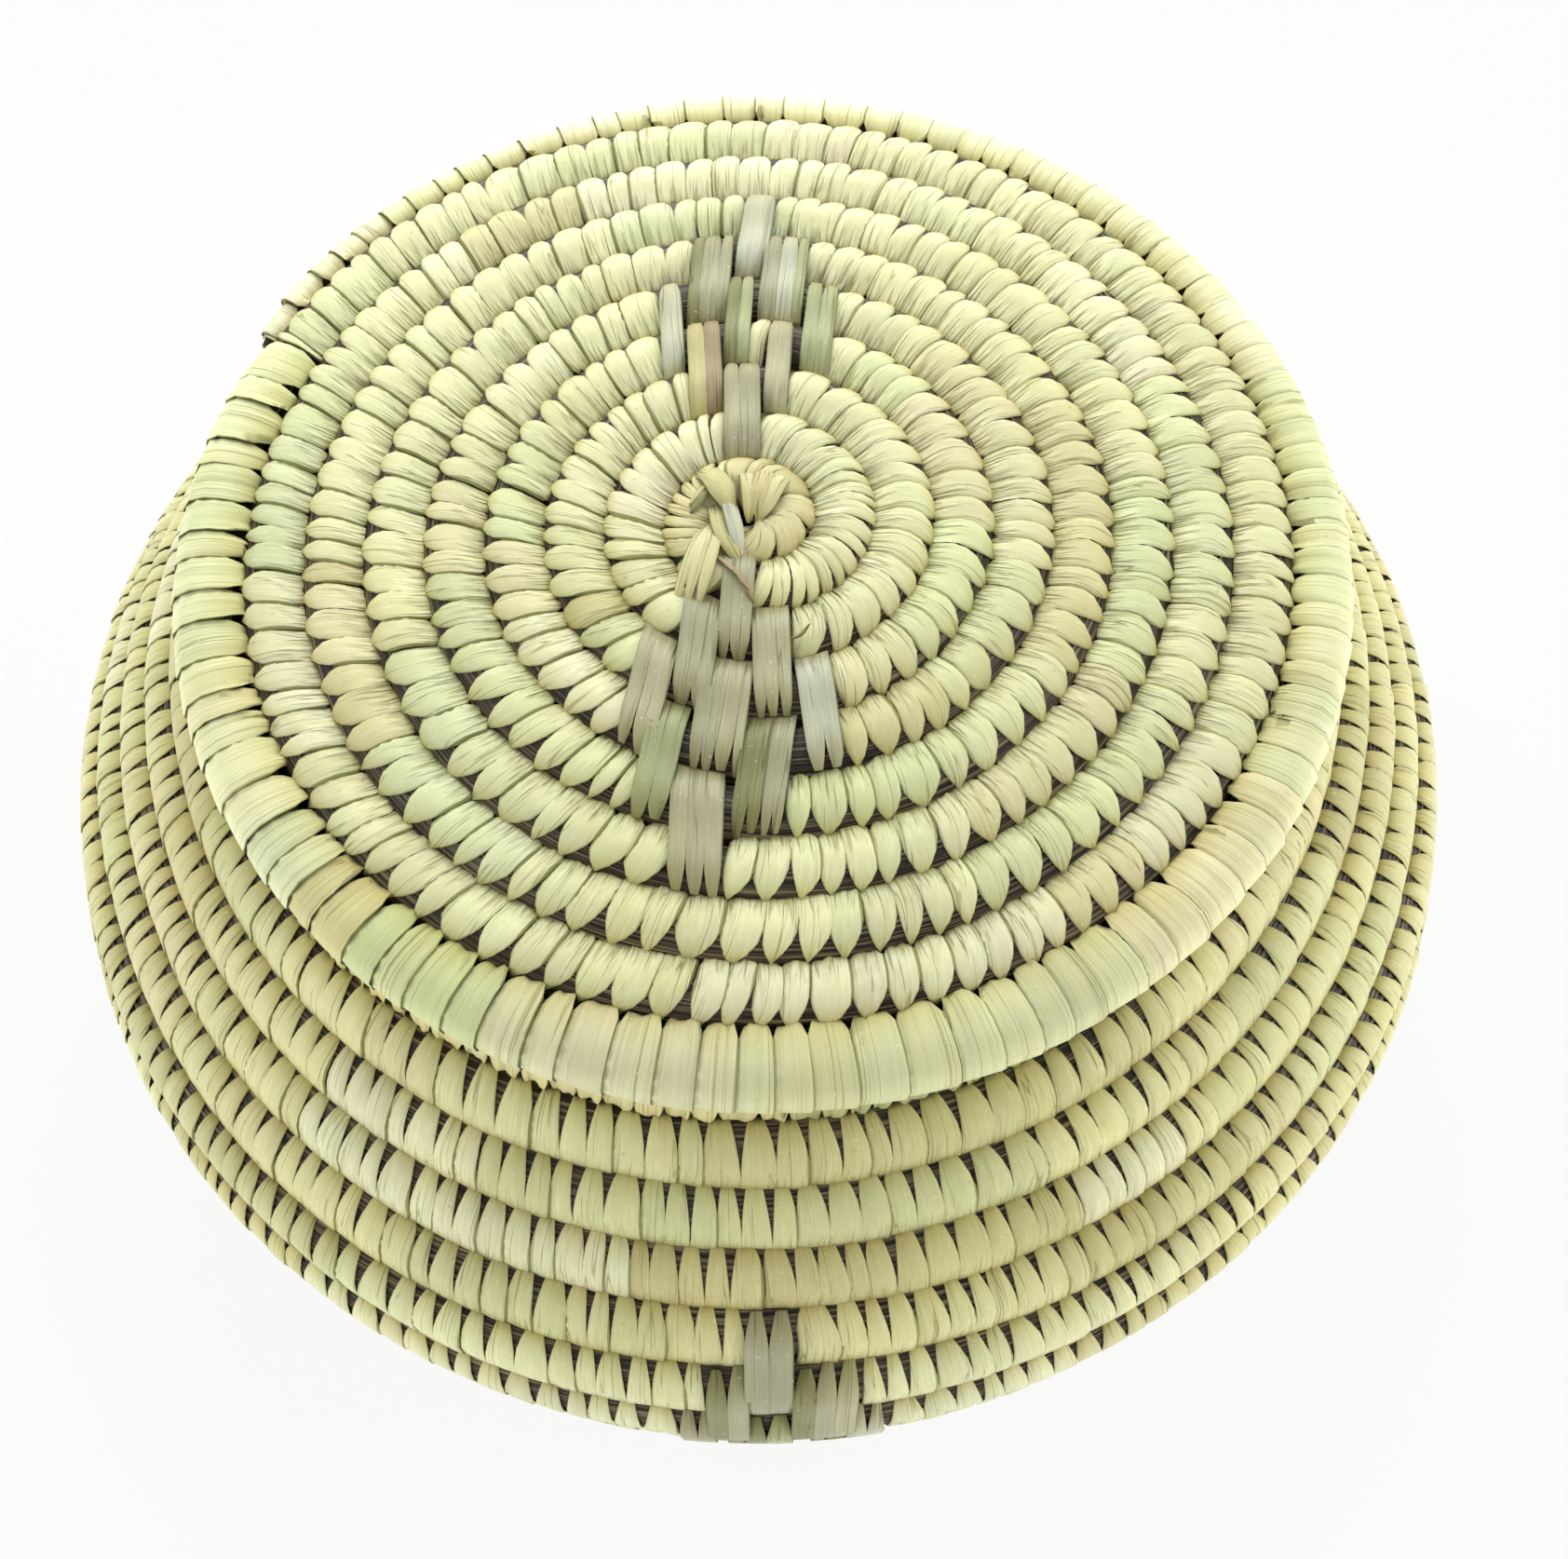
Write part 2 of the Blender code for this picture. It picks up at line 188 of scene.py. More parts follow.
def lid_section(turn):
    """Angle, radius, height, slope and tube radius of the lid's bundle."""
    angle = LID_END_ANGLE + 2 * pi * (turn - LID_TURNS)
    radius = turn * LID_PITCH
    height = LID_RIM_HEIGHT + LID_DOME_HEIGHT * (1 - min(1.0, turn / LID_RIM_START) ** 2)
    if turn <= LID_RIM_START:
        radius, tube = start_of_coil(radius, LID_PITCH, LID_COIL / 2)
    else:
        inner = radius - LID_PITCH / 2 + TURN_GAP / 2
        tube = min(LID_RIM_COIL, LID_RADIUS - inner) / 2
        tube *= min(1.0, 0.25 + (LID_TURNS - turn) / LID_END_TAPER) ** 0.5
        radius = inner + tube
    return angle, radius, height, 0.0, tube


class Bundle:
    """A wound bundle as a fine table, in which a place is found by the length along it.

    "up" points out of the woven surface and "newer" towards the row that was wound after.
    """

    steps_a_turn = 96

    def __init__(self, section, first, last, newer):
        self.turns = np.linspace(first, last, int((last - first) * self.steps_a_turn) + 2)
        angle, radius, height, slope, self.tube = np.array([section(t) for t in self.turns]).T
        zero = np.zeros_like(angle)
        out = np.stack([np.cos(angle), np.sin(angle), zero], 1)
        rise = np.stack([zero, zero, zero + 1], 1)
        self.centre = out * radius[:, None] + rise * height[:, None]
        self.up = out * np.sin(slope)[:, None] + rise * np.cos(slope)[:, None]
        self.newer = (out * np.cos(slope)[:, None] - rise * np.sin(slope)[:, None]) * newer
        steps = np.linalg.norm(np.diff(self.centre, axis=0), axis=1)
        self.length = np.concatenate([[0.0], np.cumsum(steps)])
        self.radius = radius
        self.angle = angle

    def at(self, column, along):
        if column.ndim == 1:
            return np.interp(along, self.length, column)
        return np.stack([np.interp(along, self.length, column[:, i]) for i in range(3)], -1)

    def length_at(self, turn):
        return float(np.interp(turn, self.turns, self.length))

    def place(self, along, sideways, up):
        """Points at a length along the bundle, sideways towards the newer row and up from its middle."""
        return (self.at(self.centre, along) + sideways[..., None] * self.at(self.newer, along)
                + up[..., None] * self.at(self.up, along))


class Way:
    """A wrap's way round its row, from 0 at its gathered end to 1 at its tip, with a bit over at both."""

    def __init__(self, corners):
        self.points = np.array(corners)
        gone = np.concatenate([[0], np.cumsum(np.linalg.norm(np.diff(self.points, axis=0), axis=1))])
        self.share = (gone - gone[1]) / (gone[-2] - gone[1])

    def at(self, share):
        """Sideways and up of the way and of its outward normal."""
        here, before, after = [[np.interp(share + d, self.share, self.points[:, i]) for i in (0, 1)]
                               for d in (0, -0.02, 0.02)]
        run, rise = after[0] - before[0], after[1] - before[1]
        size = np.maximum(np.hypot(run, rise), 1e-6)
        return here[0], here[1], -rise / size, run / size


LID = Bundle(lid_section, CENTRE_START_TURNS, LID_RIM_START, 1)
LID_RIM = Bundle(lid_section, LID_RIM_START, LID_TURNS, 1)
BASE = Bundle(basket_section, WALL_ROWS, BASKET_TURNS - CENTRE_START_TURNS, -1)
WALL = Bundle(basket_section, 1, WALL_ROWS, -1)
BASKET_RIM = Bundle(basket_section, -0.21, 1, -1)
FILLER = Bundle(filler_section, FILLER_START, FILLER_END, -1)


# ---------------------------------------------------------------- small tools

def deselect():
    if bpy.context.object and bpy.context.object.mode != "OBJECT":
        bpy.ops.object.mode_set(mode="OBJECT")
    bpy.ops.object.select_all(action="DESELECT")


def as_arrays(obj):
    """A modelled template's vertices and faces."""
    mesh = obj.data
    points = np.empty(len(mesh.vertices) * 3)
    mesh.vertices.foreach_get("co", points)
    faces = [tuple(p.vertices) for p in mesh.polygons]
    bpy.data.objects.remove(obj)
    return points.reshape(-1, 3), faces


def fill(items, name, values):
    items.foreach_set(name, np.ascontiguousarray(values, float).ravel())


def mesh_piece(name, points, faces, uvs, tones, widths, material, body, slot):
    """A piece from points and faces, with a UV place, a tone and its strip's width in mm for each point."""
    mesh = bpy.data.meshes.new(name)
    sizes = np.array([len(f) for f in faces], np.int32)
    corners = np.fromiter((i for f in faces for i in f), np.int32, sizes.sum())
    mesh.vertices.add(len(points))
    fill(mesh.vertices, "co", points)
    mesh.loops.add(len(corners))
    mesh.loops.foreach_set("vertex_index", corners)
    mesh.polygons.add(len(faces))
    mesh.polygons.foreach_set("loop_start", np.concatenate([[0], np.cumsum(sizes)[:-1]]).astype(np.int32))
    mesh.polygons.foreach_set("use_smooth", np.ones(len(faces), bool))
    mesh.update(calc_edges=True)
    fill(mesh.uv_layers.new(name="leaf_uv").data, "uv", uvs[corners])
    fill(mesh.color_attributes.new("leaf_tone", "FLOAT_COLOR", "POINT").data, "color", tones)
    fill(mesh.attributes.new("leaf_width", "FLOAT", "POINT").data, "value", widths)
    mesh.validate()
    mesh.materials.append(material)
    obj = bpy.data.objects.new(name, mesh)
    bpy.context.scene.collection.objects.link(obj)
    deselect()
    obj.select_set(True)
    bpy.context.view_layer.objects.active = obj
    bpy.ops.object.mode_set(mode="EDIT")
    bpy.ops.mesh.select_all(action="SELECT")
    bpy.ops.mesh.normals_make_consistent(inside=False)
    bpy.ops.object.mode_set(mode="OBJECT")
    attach(obj, body)
    return obj


class Copies:
    """Copies of a template, gathered for one piece."""

    def __init__(self, template):
        self.points, self.template_faces = template
        self.places, self.faces, self.uvs, self.tones, self.widths = [], [], [], [], []

    def add(self, places, across, along, tone, seed, width):
        """One copy: its points, its places across and along the strip, and the strip's width in mm."""
        count = len(self.points)
        offset = count * len(self.places)
        self.places.append(places)
        self.faces += [tuple(v + offset for v in face) for face in self.template_faces]
        self.uvs.append(np.stack([across * 0.5 + 0.5, along], 1))
        self.tones.append(np.tile([*tone, seed], (count, 1)))
        self.widths.append(np.full(count, float(width)))

    def piece(self, name, material, body, slot):
        parts = [np.concatenate(part) for part in (self.places, self.uvs, self.tones, self.widths)]
        return mesh_piece(name, parts[0], self.faces, *parts[1:], material, body, slot)


# ---------------------------------------------------------------- materials

class Tree:
    """A node tree in the making. A value is a number, a colour, or an output to be linked."""

    def __init__(self, tree):
        self.nodes, self.links = tree.nodes, tree.links

    def feed(self, socket, value):
        if isinstance(value, (int, float)):
            socket.default_value = value
        elif isinstance(value, tuple):
            socket.default_value = (*value[:3], 1.0)
        else:
            self.links.new(value, socket)

    def set(self, node, **named):
        """Feeds a node's settings, or its inputs, by their names with _ for each space."""
        for name, value in named.items():
            if hasattr(node, name):
                setattr(node, name, value)
            else:
                self.feed(node.inputs[name.replace("_", " ")], value)
        return node

    def new(self, kind, *values, **named):
        """A new node, with values for its inputs in their order and for its named settings and inputs."""
        node = self.set(self.nodes.new("ShaderNode" + kind), **named)
        for socket, value in zip(node.inputs, values):
            self.feed(socket, value)
        return node

    def math(self, kind, *values):
        return self.new("Math", *values, operation=kind).outputs[0]

    def range(self, value, low, high, out_low=0.0, out_high=1.0, kind="SMOOTHSTEP"):
        return self.new("MapRange", value, low, high, out_low, out_high, interpolation_type=kind).outputs["Result"]

    def mix(self, share, first, second, blend="MIX"):
        node = self.new("Mix", share, data_type="RGBA", blend_type=blend)
        self.feed(node.inputs[6], first)
        self.feed(node.inputs[7], second)
        return node.outputs[2]

    def tint(self, share, colour, tint):
        """The colour, multiplied by a tint as far as the share says."""
        return self.mix(share, colour, self.mix(1.0, colour, tint, "MULTIPLY"))

    def noise(self, vector, scale, detail, rough=0.55):
        return self.new("TexNoise", Vector=vector, Scale=scale, Detail=detail, Roughness=rough).outputs["Fac"]

    def join(self, *values):
        return self.new("CombineXYZ", *values).outputs[0]

    def leaf_uv(self):
        uv = self.new("UVMap", uv_map="leaf_uv")
        parts = self.new("SeparateXYZ", uv.outputs["UV"]).outputs
        return parts[0], parts[1]

    def bump(self, height, distance):
        return self.new("Bump", Height=height, Distance=distance).outputs["Normal"]


def new_material(name):
    material = bpy.data.materials.new(name)
    material.use_nodes = True
    return material, Tree(material.node_tree)


def leaf_group():
    """Colour and relief of a wrapped strip of palm leaf.

    Across is the place across the strip and Width its width, both in millimetres, and Along runs from
    its gathered end, 0, to its tip, 1. The veins and pleats run along the strip.
    """
    group = bpy.data.node_groups.new("palm_leaf", "ShaderNodeTree")
    for way, names in (("INPUT", ("Tone", "Seed", "Across", "Width", "Along", "Pleats", "Veins", "Edge line")),
                       ("OUTPUT", ("Color", "Roughness", "Height"))):
        for name in names:
            kind = "NodeSocketColor" if name in ("Tone", "Color") else "NodeSocketFloat"
            group.interface.new_socket(name, in_out=way, socket_type=kind)
    tree = Tree(group)
    calc, span = tree.math, tree.range
    given = tree.nodes.new("NodeGroupInput").outputs
    tone, seed, across, width, along, pleats, veins, edge_line = [given[i] for i in range(8)]
    place = tree.new("TexCoord").outputs["Object"]

    def times(first, second):
        return calc("MULTIPLY", first, second)

    def streaks(over, lengthwise, detail, rough=0.55, apart=1.0):
        """Noise drawn out along the strip, by its scales across and along it."""
        return tree.noise(tree.join(calc("MULTIPLY_ADD", across, over, times(shift, apart)),
                                    calc("MULTIPLY_ADD", along, lengthwise, shift), shift), 1.0, detail, rough)

    shift = times(seed, 57.0)
    # veins: fine ones all the way, and a few broader bands
    fine = streaks(5.6, 1.1, 3.0, 0.7)
    broad = streaks(0.75, 0.8, 2.0)
    # pleats where the strip is gathered, fading along it: painted shade in each valley, with a sharp painted dark
    # line at its bottom
    wander = calc("MULTIPLY_ADD", broad, 2.4, calc("MULTIPLY_ADD", across, 0.42, shift))
    fold = calc("ABSOLUTE", calc("SINE", times(wander, pi)))
    pleat_valley_shade = calc("POWER", calc("SUBTRACT", 1.0, fold), 2.0)
    line = span(fold, 0.14, 0.02)
    reach = calc("MULTIPLY_ADD", broad, 0.80, 0.02)
    gather = times(span(calc("SUBTRACT", along, reach), 0.04, -0.26), pleats)
    drawn = times(span(along, 0.78, 1.0, 0.0, 0.6), pleats)
    pleated = calc("MAXIMUM", gather, drawn)
    # creases and splits: thin dark lines that come and go along the strip; the dark in the creases is painted
    # shade
    split = streaks(0.62, 0.34, 1.0, apart=1.7)
    crease = times(span(calc("ABSOLUTE", calc("SUBTRACT", split, 0.5)), 0.016, 0.002), span(broad, 0.46, 0.60))
    # the strip's cut edges: a thin dark green line on the one that shows, and soft painted shade at the other,
    # which lies under the next strip
    line_width = times(edge_line, calc("MULTIPLY_ADD", calc("FRACT", times(seed, 7.3)), 1.2, 0.3))
    upper_edge = span(calc("DIVIDE", calc("SUBTRACT", width, across), line_width), 1.0, 0.3)
    under_edge_shade = span(across, 0.55, 0.0)
    # both ends lie deep between the rows, where painted shade darkens them and turns them browner
    ends = calc("MAXIMUM", span(along, 0.17, 0.02), span(along, 0.66, 0.98))
    # a painted highlight on the lobes a little way from the gathered end
    painted_lobe_highlight = times(span(along, 0.06, 0.16), span(along, 0.46, 0.20))
    stain = span(tree.noise(place, 46.0, 2.0), 0.50, 0.72)
    # paler, whiter streaks drawn out along the strip: painted highlight
    pale = span(streaks(1.5, 3.2, 3.0, 0.6, apart=2.3), 0.48, 0.68)
    speck = span(tree.noise(place, 1100.0, 1.0), 0.715, 0.79)
    dark_speck = span(tree.noise(place, 700.0, 1.0), 0.27, 0.22)

    vein_tint = tree.mix(times(fine, veins), (1.15, 1.14, 1.12), (0.68, 0.69, 0.56))
    colour = tree.mix(1.0, tone, vein_tint, "MULTIPLY")
    for mask, share, tint in (
            (stain, 0.50, (0.95, 0.90, 0.76)), (pale, 0.75, (1.10, 1.10, 1.26)), (painted_lobe_highlight, 0.5, (1.07, 1.07, 1.13)),
            (crease, 0.7, (0.46, 0.44, 0.24)), (ends, 0.70, (0.78, 0.70, 0.44)),
            (times(pleat_valley_shade, pleated), 0.60, (0.66, 0.60, 0.36)), (times(line, pleated), 0.50, (0.44, 0.40, 0.20)),
            (under_edge_shade, 0.35, (0.66, 0.66, 0.42)), (upper_edge, 0.90, (0.36, 0.37, 0.17))):
        colour = tree.tint(times(mask, share), colour, tint)
    colour = tree.mix(times(speck, 0.40), colour, (0.88, 0.88, 0.78))
    colour = tree.tint(times(dark_speck, 0.3), colour, (0.55, 0.46, 0.28))
    height = calc("SUBTRACT", calc("MULTIPLY_ADD", fine, 0.22, times(fold, pleated)),
                  calc("MULTIPLY_ADD", upper_edge, 0.2, times(crease, 0.3)))
    tree.set(tree.nodes.new("NodeGroupOutput"), Color=colour, Height=height,
             Roughness=calc("MULTIPLY_ADD", fine, 0.25, 0.42))
    return group


def leaf_material(name, group, pleats, veins, relief, edge_line):
    """A leaf's material: how far it is pleated and veined, its relief in metres, its edge line in mm."""
    material, tree = new_material(name)
    tone = tree.new("Attribute", attribute_name="leaf_tone").outputs
    width = tree.new("Attribute", attribute_name="leaf_width").outputs["Fac"]
    across, along = tree.leaf_uv()
    leaf = tree.new("Group", tone["Color"], tone["Alpha"], tree.math("MULTIPLY", across, width), width, along,
                    pleats, veins, edge_line, node_tree=group).outputs
    tree.set(tree.nodes["Principled BSDF"], Base_Color=leaf["Color"], Roughness=leaf["Roughness"],
             Normal=tree.bump(leaf["Height"], relief), Specular_IOR_Level=0.38, Sheen_Weight=0.08)
    return material


def stalk_material():
    """Dry grass stalks: fine brown and olive stripes along the bundle, with near-black painted shade between the
    stalks.
    """
    material, tree = new_material("dry_stalks")
    along, around = tree.leaf_uv()
    along, around = tree.math("MULTIPLY", along, 28.0), tree.math("MULTIPLY", around, 64.0)
    strand = tree.noise(tree.join(along, around), 1.0, 2.0)
    shade = tree.noise(tree.join(tree.math("MULTIPLY", along, 2.0), tree.math("MULTIPLY", around, 0.2)), 1.0, 2.0)
    ramp = tree.new("ValToRGB", strand)
    stops = ramp.color_ramp.elements
    stops[0].position, stops[1].position = 0.41, 0.68
    stops.new(0.52)
    # the first stop, near black, is painted shade between the stalks
    for stop, colour in zip(stops, ((0.008, 0.006, 0.003, 1), (0.085, 0.060, 0.028, 1), (0.40, 0.33, 0.18, 1))):
        stop.color = colour
    colour = tree.tint(tree.math("MULTIPLY", shade, 0.9), ramp.outputs["Color"], (0.42, 0.38, 0.30))
    tree.set(tree.nodes["Principled BSDF"], Base_Color=colour, Normal=tree.bump(strand, 0.0006),
             Roughness=0.45, Specular_IOR_Level=0.4)
    return material


# ---------------------------------------------------------------- templates, modelled once

def leaf_template(sides, places):
    """One finger of leaf, 2 wide and 1 long: a flat arched section, extruded place by place along y."""
    deselect()
    bpy.ops.mesh.primitive_circle_add(vertices=len(sides), radius=1, fill_type="NGON",
                                      rotation=(pi / 2, 0, 0))
    obj = bpy.context.object
    bpy.ops.object.transform_apply(location=False, rotation=True, scale=False)
    for vertex, (x, z) in zip(obj.data.vertices, sides):
        vertex.co = (x, places[0], z)
    bpy.ops.object.mode_set(mode="EDIT")
    bpy.ops.mesh.select_all(action="SELECT")
    for before, place in zip(places, places[1:]):
        bpy.ops.mesh.extrude_region_move(TRANSFORM_OT_translate={"value": (0, place - before, 0)})
    bpy.ops.object.mode_set(mode="OBJECT")
    return as_arrays(obj)


ARCH = ((-1.0, 0.0), (-0.8, 0.66), (-0.42, 0.92), (0.0, 1.0), (0.42, 0.92), (0.8, 0.66), (1.0, 0.0),
        (0.5, -1.0), (-0.5, -1.0))
WALL_ARCH = ((-1.0, 0.25), (-0.88, 0.86), (0.0, 1.0), (0.88, 0.86), (1.0, 0.25), (0.5, -1.0), (-0.5, -1.0))
LOW_ARCH = ((-1.0, 0.0), (-0.7, 0.9), (0.7, 0.9), (1.0, 0.0), (0.0, -1.0))
RIM_ARCH = ((-1.0, 0.5), (-0.9, 0.9), (-0.5, 0.98), (0.0, 1.0), (0.5, 0.98), (0.9, 0.9), (1.0, 0.5), (0.0, -1.0))
FLAT_ARCH = ((-1.0, 0.1), (-0.985, 0.86), (0.0, 1.0), (0.985, 0.86), (1.0, 0.1), (0.0, -1.0))
WRAP_PLACES = (0.0, 0.05, 0.13, 0.26, 0.42, 0.58, 0.73, 0.87, 1.0)
INSIDE_PLACES = (0.0, 0.16, 0.38, 0.62, 0.82, 1.0)
RIM_PLACES = (0.0, 0.03, 0.07, 0.13, 0.22, 0.32, 0.42, 0.52, 0.62, 0.72, 0.82, 0.92, 1.0)
STRIP_PLACES = (0.0, 0.03, 0.07, 0.13, 0.20, 0.28, 0.36, 0.44, 0.52, 0.60, 0.68, 0.76, 0.84, 0.92, 1.0)


# ---------------------------------------------------------------- laying the wraps

class Cut(namedtuple("Cut", "gathered notch tip overlap vary pleat scallop rounding",
                     defaults=(1.08, 0.08, 0.35, 0.045, 1.4))):
    """How a strip of leaf is cut and gathered: widths of its ends, and where its fingers part."""

    def fingers(self, template, parts, crowd=0.0, deeper=0.0):
        """The strip's fingers side by side: places across it, from -1 to 1, and along it, and heights.

        crowd, from 0 to 1, leaves the ends wider and the strips lapping further over each other, and
        deeper is how much earlier than usual the fingers part.
        """
        points = template[0]
        edges = np.concatenate([[0], np.cumsum(parts)]) / sum(parts) * 2 - 1
        cuts = [min(1.0, self.notch - deeper + chance.uniform(-self.vary, self.vary)) for _ in edges]
        columns = np.linspace(-1, 1, 9)
        for i in range(len(parts)):
            x, y, z = points.T
            top = z > -0.5
            spread = np.zeros(len(x))
            widths = []
            for outer, cut in ((i == 0, cuts[i]), (i == len(parts) - 1, cuts[i + 1])):
                parted = np.clip((y - cut) / max(1e-3, 1 - cut), 0, 1)
                width = 1 - (1 - self.tip) * (1 - 0.75 * crowd) * parted ** self.rounding
                if outer:
                    grown = np.interp(y, (0, 0.05, 0.13), (self.gathered, 0.35 + 0.62 * self.gathered, 1))
                    width = width * (self.overlap + 0.25 * crowd) * (grown + (1 - grown) * 0.5 * crowd)
                else:
                    way = 1 if widths else -1
                    joined = np.clip((cut - y) / 0.12, 0, 1) * (x * way > 0.3) * top
                    z = z + (0.96 - z) * joined
                    spread = spread + (way - x) * 0.92 * joined * (x * way < 1)
                widths.append(width)
            spread = x + spread
            across = (edges[i] + edges[i + 1]) / 2 + (edges[i + 1] - edges[i]) / 2 * spread * np.where(
                x < 0, widths[0], widths[1])
            scallop = np.interp(x, columns, [self.scallop * chance.uniform(-0.6, 1) for _ in columns])
            pleat = np.interp(x, columns, [self.pleat * chance.uniform(-1, 1) for _ in columns])
            yield (across, y + scallop * np.clip(1 - y / 0.13, 0, 1),
                   z + pleat * np.clip(1 - y / 0.4, 0, 1) * top)


def oval(tube, around, top, side):
    """How far a pressed row reaches from its middle, at an angle from its top."""
    return tube / np.sqrt((np.cos(around) / top) ** 2 + (np.sin(around) / side) ** 2)


def lean_at(lean, radius):
    return lean[0] + lean[1] * max(0.0, 1 - radius / LEAN_RADIUS)


def wrap_edges(bundle, first, last, unit, lean, older=()):
    """Where the wraps along a bundle begin and end, as turns.

    The gathered end of each wrap goes into the gap between two wraps of the row before it, so its
    edges lie at their middles, unless that would make it much wider or narrower than usual.
    """
    way = 1 if last > first else -1
    edges = [first]
    before = list(older)
    while (last - edges[-1]) * way > 0:
        turn = edges[-1]
        radius = max(0.004, float(np.interp(turn, bundle.turns, bundle.radius)))
        full = unit * (0.72 + 0.28 * min(1.0, radius / 0.04)) / (2 * pi * radius)
        shift = lean_at(lean, radius) / (2 * pi * radius)
        pool = before + edges
        target = turn + way * full - way + shift
        middles = [(a + b) / 2 for a, b in zip(pool, pool[1:]) if abs((a + b) / 2 - target) < 0.8 * full]
        step = full * chance.uniform(0.80, 1.20)
        if middles:
            nearest = min(middles, key=lambda m: abs(m - target))
            wanted = (nearest + way - shift - turn) * way
            if 0.74 * full < wanted < 1.28 * full:
                step = wanted * chance.uniform(0.88, 1.12)
        edges.append(turn + way * step)
    edges[-1] = last
    return edges


def clear_of(bundle, edges, covered):
    """The edges with the covered stretches taken out whole, and for each wrap whether it is laid."""
    ahead = edges[-1] > edges[0]
    edges = sorted(edges)
    for low, high in covered:
        way = 1 if ahead else -1
        radius = float(np.interp((low + high) / 2, bundle.turns[::way], bundle.radius[::way]))
        slack = STRIP_CLEARANCE / (2 * pi * radius)
        edges = sorted([e for e in edges if not low - slack < e < high + slack] + [low, high])
    laid = [not any(low < (a + b) / 2 < high for low, high in covered) for a, b in zip(edges, edges[1:])]
    return (edges, laid) if ahead else (edges[::-1], laid[::-1])


def tones_along(edges, palette, patches=()):
    """A tone for each wrap: one strip of leaf does several wraps before the next is spliced in."""
    tones = []
    left = 0
    for start, end in zip(edges, edges[1:]):
        if left <= 0:
            tone = chance.choice(palette)
            left = chance.randint(3, 12)
        left -= 1
        middle = (start + end) / 2
        named = [t for low, high, t in patches if low <= middle <= high]
        tones.append(named[-1] if named else tone)
    return tones


def lay_wraps(name, bundle, edges, tones, body, template, cut, material, slot, way, thickness, lean,
              tilt=0.0003, jitter=1.0, doubles=0.0, laid=None, leaf_end=1.0):
    """Strips of leaf along a bundle, in one piece.

    way is a strip's way round the row, lean how far its gathered end lies ahead of its tip, tilt how far
    one side stands over the next strip, jitter how irregular they are, and doubles the share of strips
    that are slit into two or three fingers.
    """
    outward = 1 if way is not INSIDE else -1
    copies = Copies(template)
    i = 0
    while i < len(edges) - 1:
        if laid and not laid[i]:
            i += 1
            continue
        count = 1
        while count < 3 and chance.random() < doubles and i + count + 1 < len(edges) and not (
                laid and not laid[i + count]):
            count += 1
        marks = sorted(bundle.length_at(e) for e in edges[i:i + count + 1])
        half, middle = (marks[-1] - marks[0]) / 2, (marks[-1] + marks[0]) / 2
        tube, radius, angle = [float(bundle.at(column, middle)) for column in (bundle.tube, bundle.radius,
                                                                               bundle.angle)]
        leaning = lean_at(lean, radius) * chance.uniform(0.7, 1.3)
        shade = chance.uniform(0.93, 1.05)
        colour = [c * shade * chance.uniform(0.985, 1.015) for c in linear(tones[i])]
        seed = chance.random()
        raised = jitter * chance.uniform(-0.00008, 0.00008)
        thick = thickness * chance.uniform(0.85, 1.2)
        bend = WRAP_BOW + jitter * chance.uniform(-0.0004, 0.0004)
        parts = np.diff(marks)
        if radius < SLIT_RADIUS and chance.random() < 0.75:
            parts = np.repeat(parts, 2) * [chance.uniform(0.8, 1.2) for _ in range(2 * len(parts))]
        # the front, which was wound with wider leaf, is slit deeper
        deeper = 0.13 * max(0.0, -sin(angle)) ** 2 * (cut.tip < 1)
        for x, y, z in cut.fingers(template, parts, max(0.0, 1 - radius / CROWDED_RADIUS), deeper):
            ends = [a + jitter * chance.uniform(-0.03, 0.03) for a in (0, 1)]
            share = (y.clip(0) ** chance.uniform(0.9, 1.1)) * (ends[1] - ends[0]) + ends[0] + np.minimum(y, 0)
            side_at, up_at, side_out, up_out = way.at(share)
            away = outward * (thick * z + tilt * x + raised)
            along = middle + half * x + leaning * (0.5 - y) + bend * np.sin(pi * y.clip(0))
            copies.add(bundle.place(along, tube * side_at + away * side_out, tube * up_at + away * up_out),
                       x, y * leaf_end, colour, seed, half * 2000)
        i += count
    return copies.piece(name, material, body, slot)


def sweep_stalks(name, bundle, first, last, body, slot, replaced, side=CORE_SIDE, stalks=20, step=0.004):
    """The bundle of stalks under the leaf: a pressed ring of stalk ridges drawn along the coil."""
    low, high = bundle.length_at(first), bundle.length_at(last)
    count = max(8, int((high - low) / step))
    along = np.linspace(low, high, count)
    sides = stalks * 2
    around = np.linspace(0, 2 * pi, sides, endpoint=False)
    ridge = 1.0 + STALK_RIDGE * np.where(np.arange(sides) % 2 == 0, 1.0, -1.0)
    grid_along = np.repeat(along[:, None], sides, 1)
    grid_around = around[None, :] + along[:, None] * STALK_TWIST
    tube = bundle.at(bundle.tube, along)[:, None]
    away = oval(tube, grid_around, CORE_TOP, side) * ridge[None, :]
    points = bundle.place(grid_along, away * np.sin(grid_around), away * np.cos(grid_around)).reshape(-1, 3)
    ids = np.arange(count * sides).reshape(count, sides)
    quads = np.stack([ids[:-1], np.roll(ids[:-1], -1, 1), np.roll(ids[1:], -1, 1), ids[1:]], -1)
    faces = [tuple(q) for q in quads.reshape(-1, 4).tolist()]
    faces.append(tuple(ids[0][::-1].tolist()))
    faces.append(tuple(ids[-1].tolist()))
    uvs = np.stack([grid_along, np.broadcast_to(around[None, :] / (2 * pi), grid_along.shape)], -1).reshape(-1, 2)
    tones = np.tile([0.2, 0.17, 0.08, 0.5], (len(points), 1))
    piece = mesh_piece(name, points, faces, uvs, tones, np.full(len(points), 8.0), STALKS, body, slot)
    if replaced:
        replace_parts(piece, *replaced)


# ---------------------------------------------------------------- the diamonds' wide strips

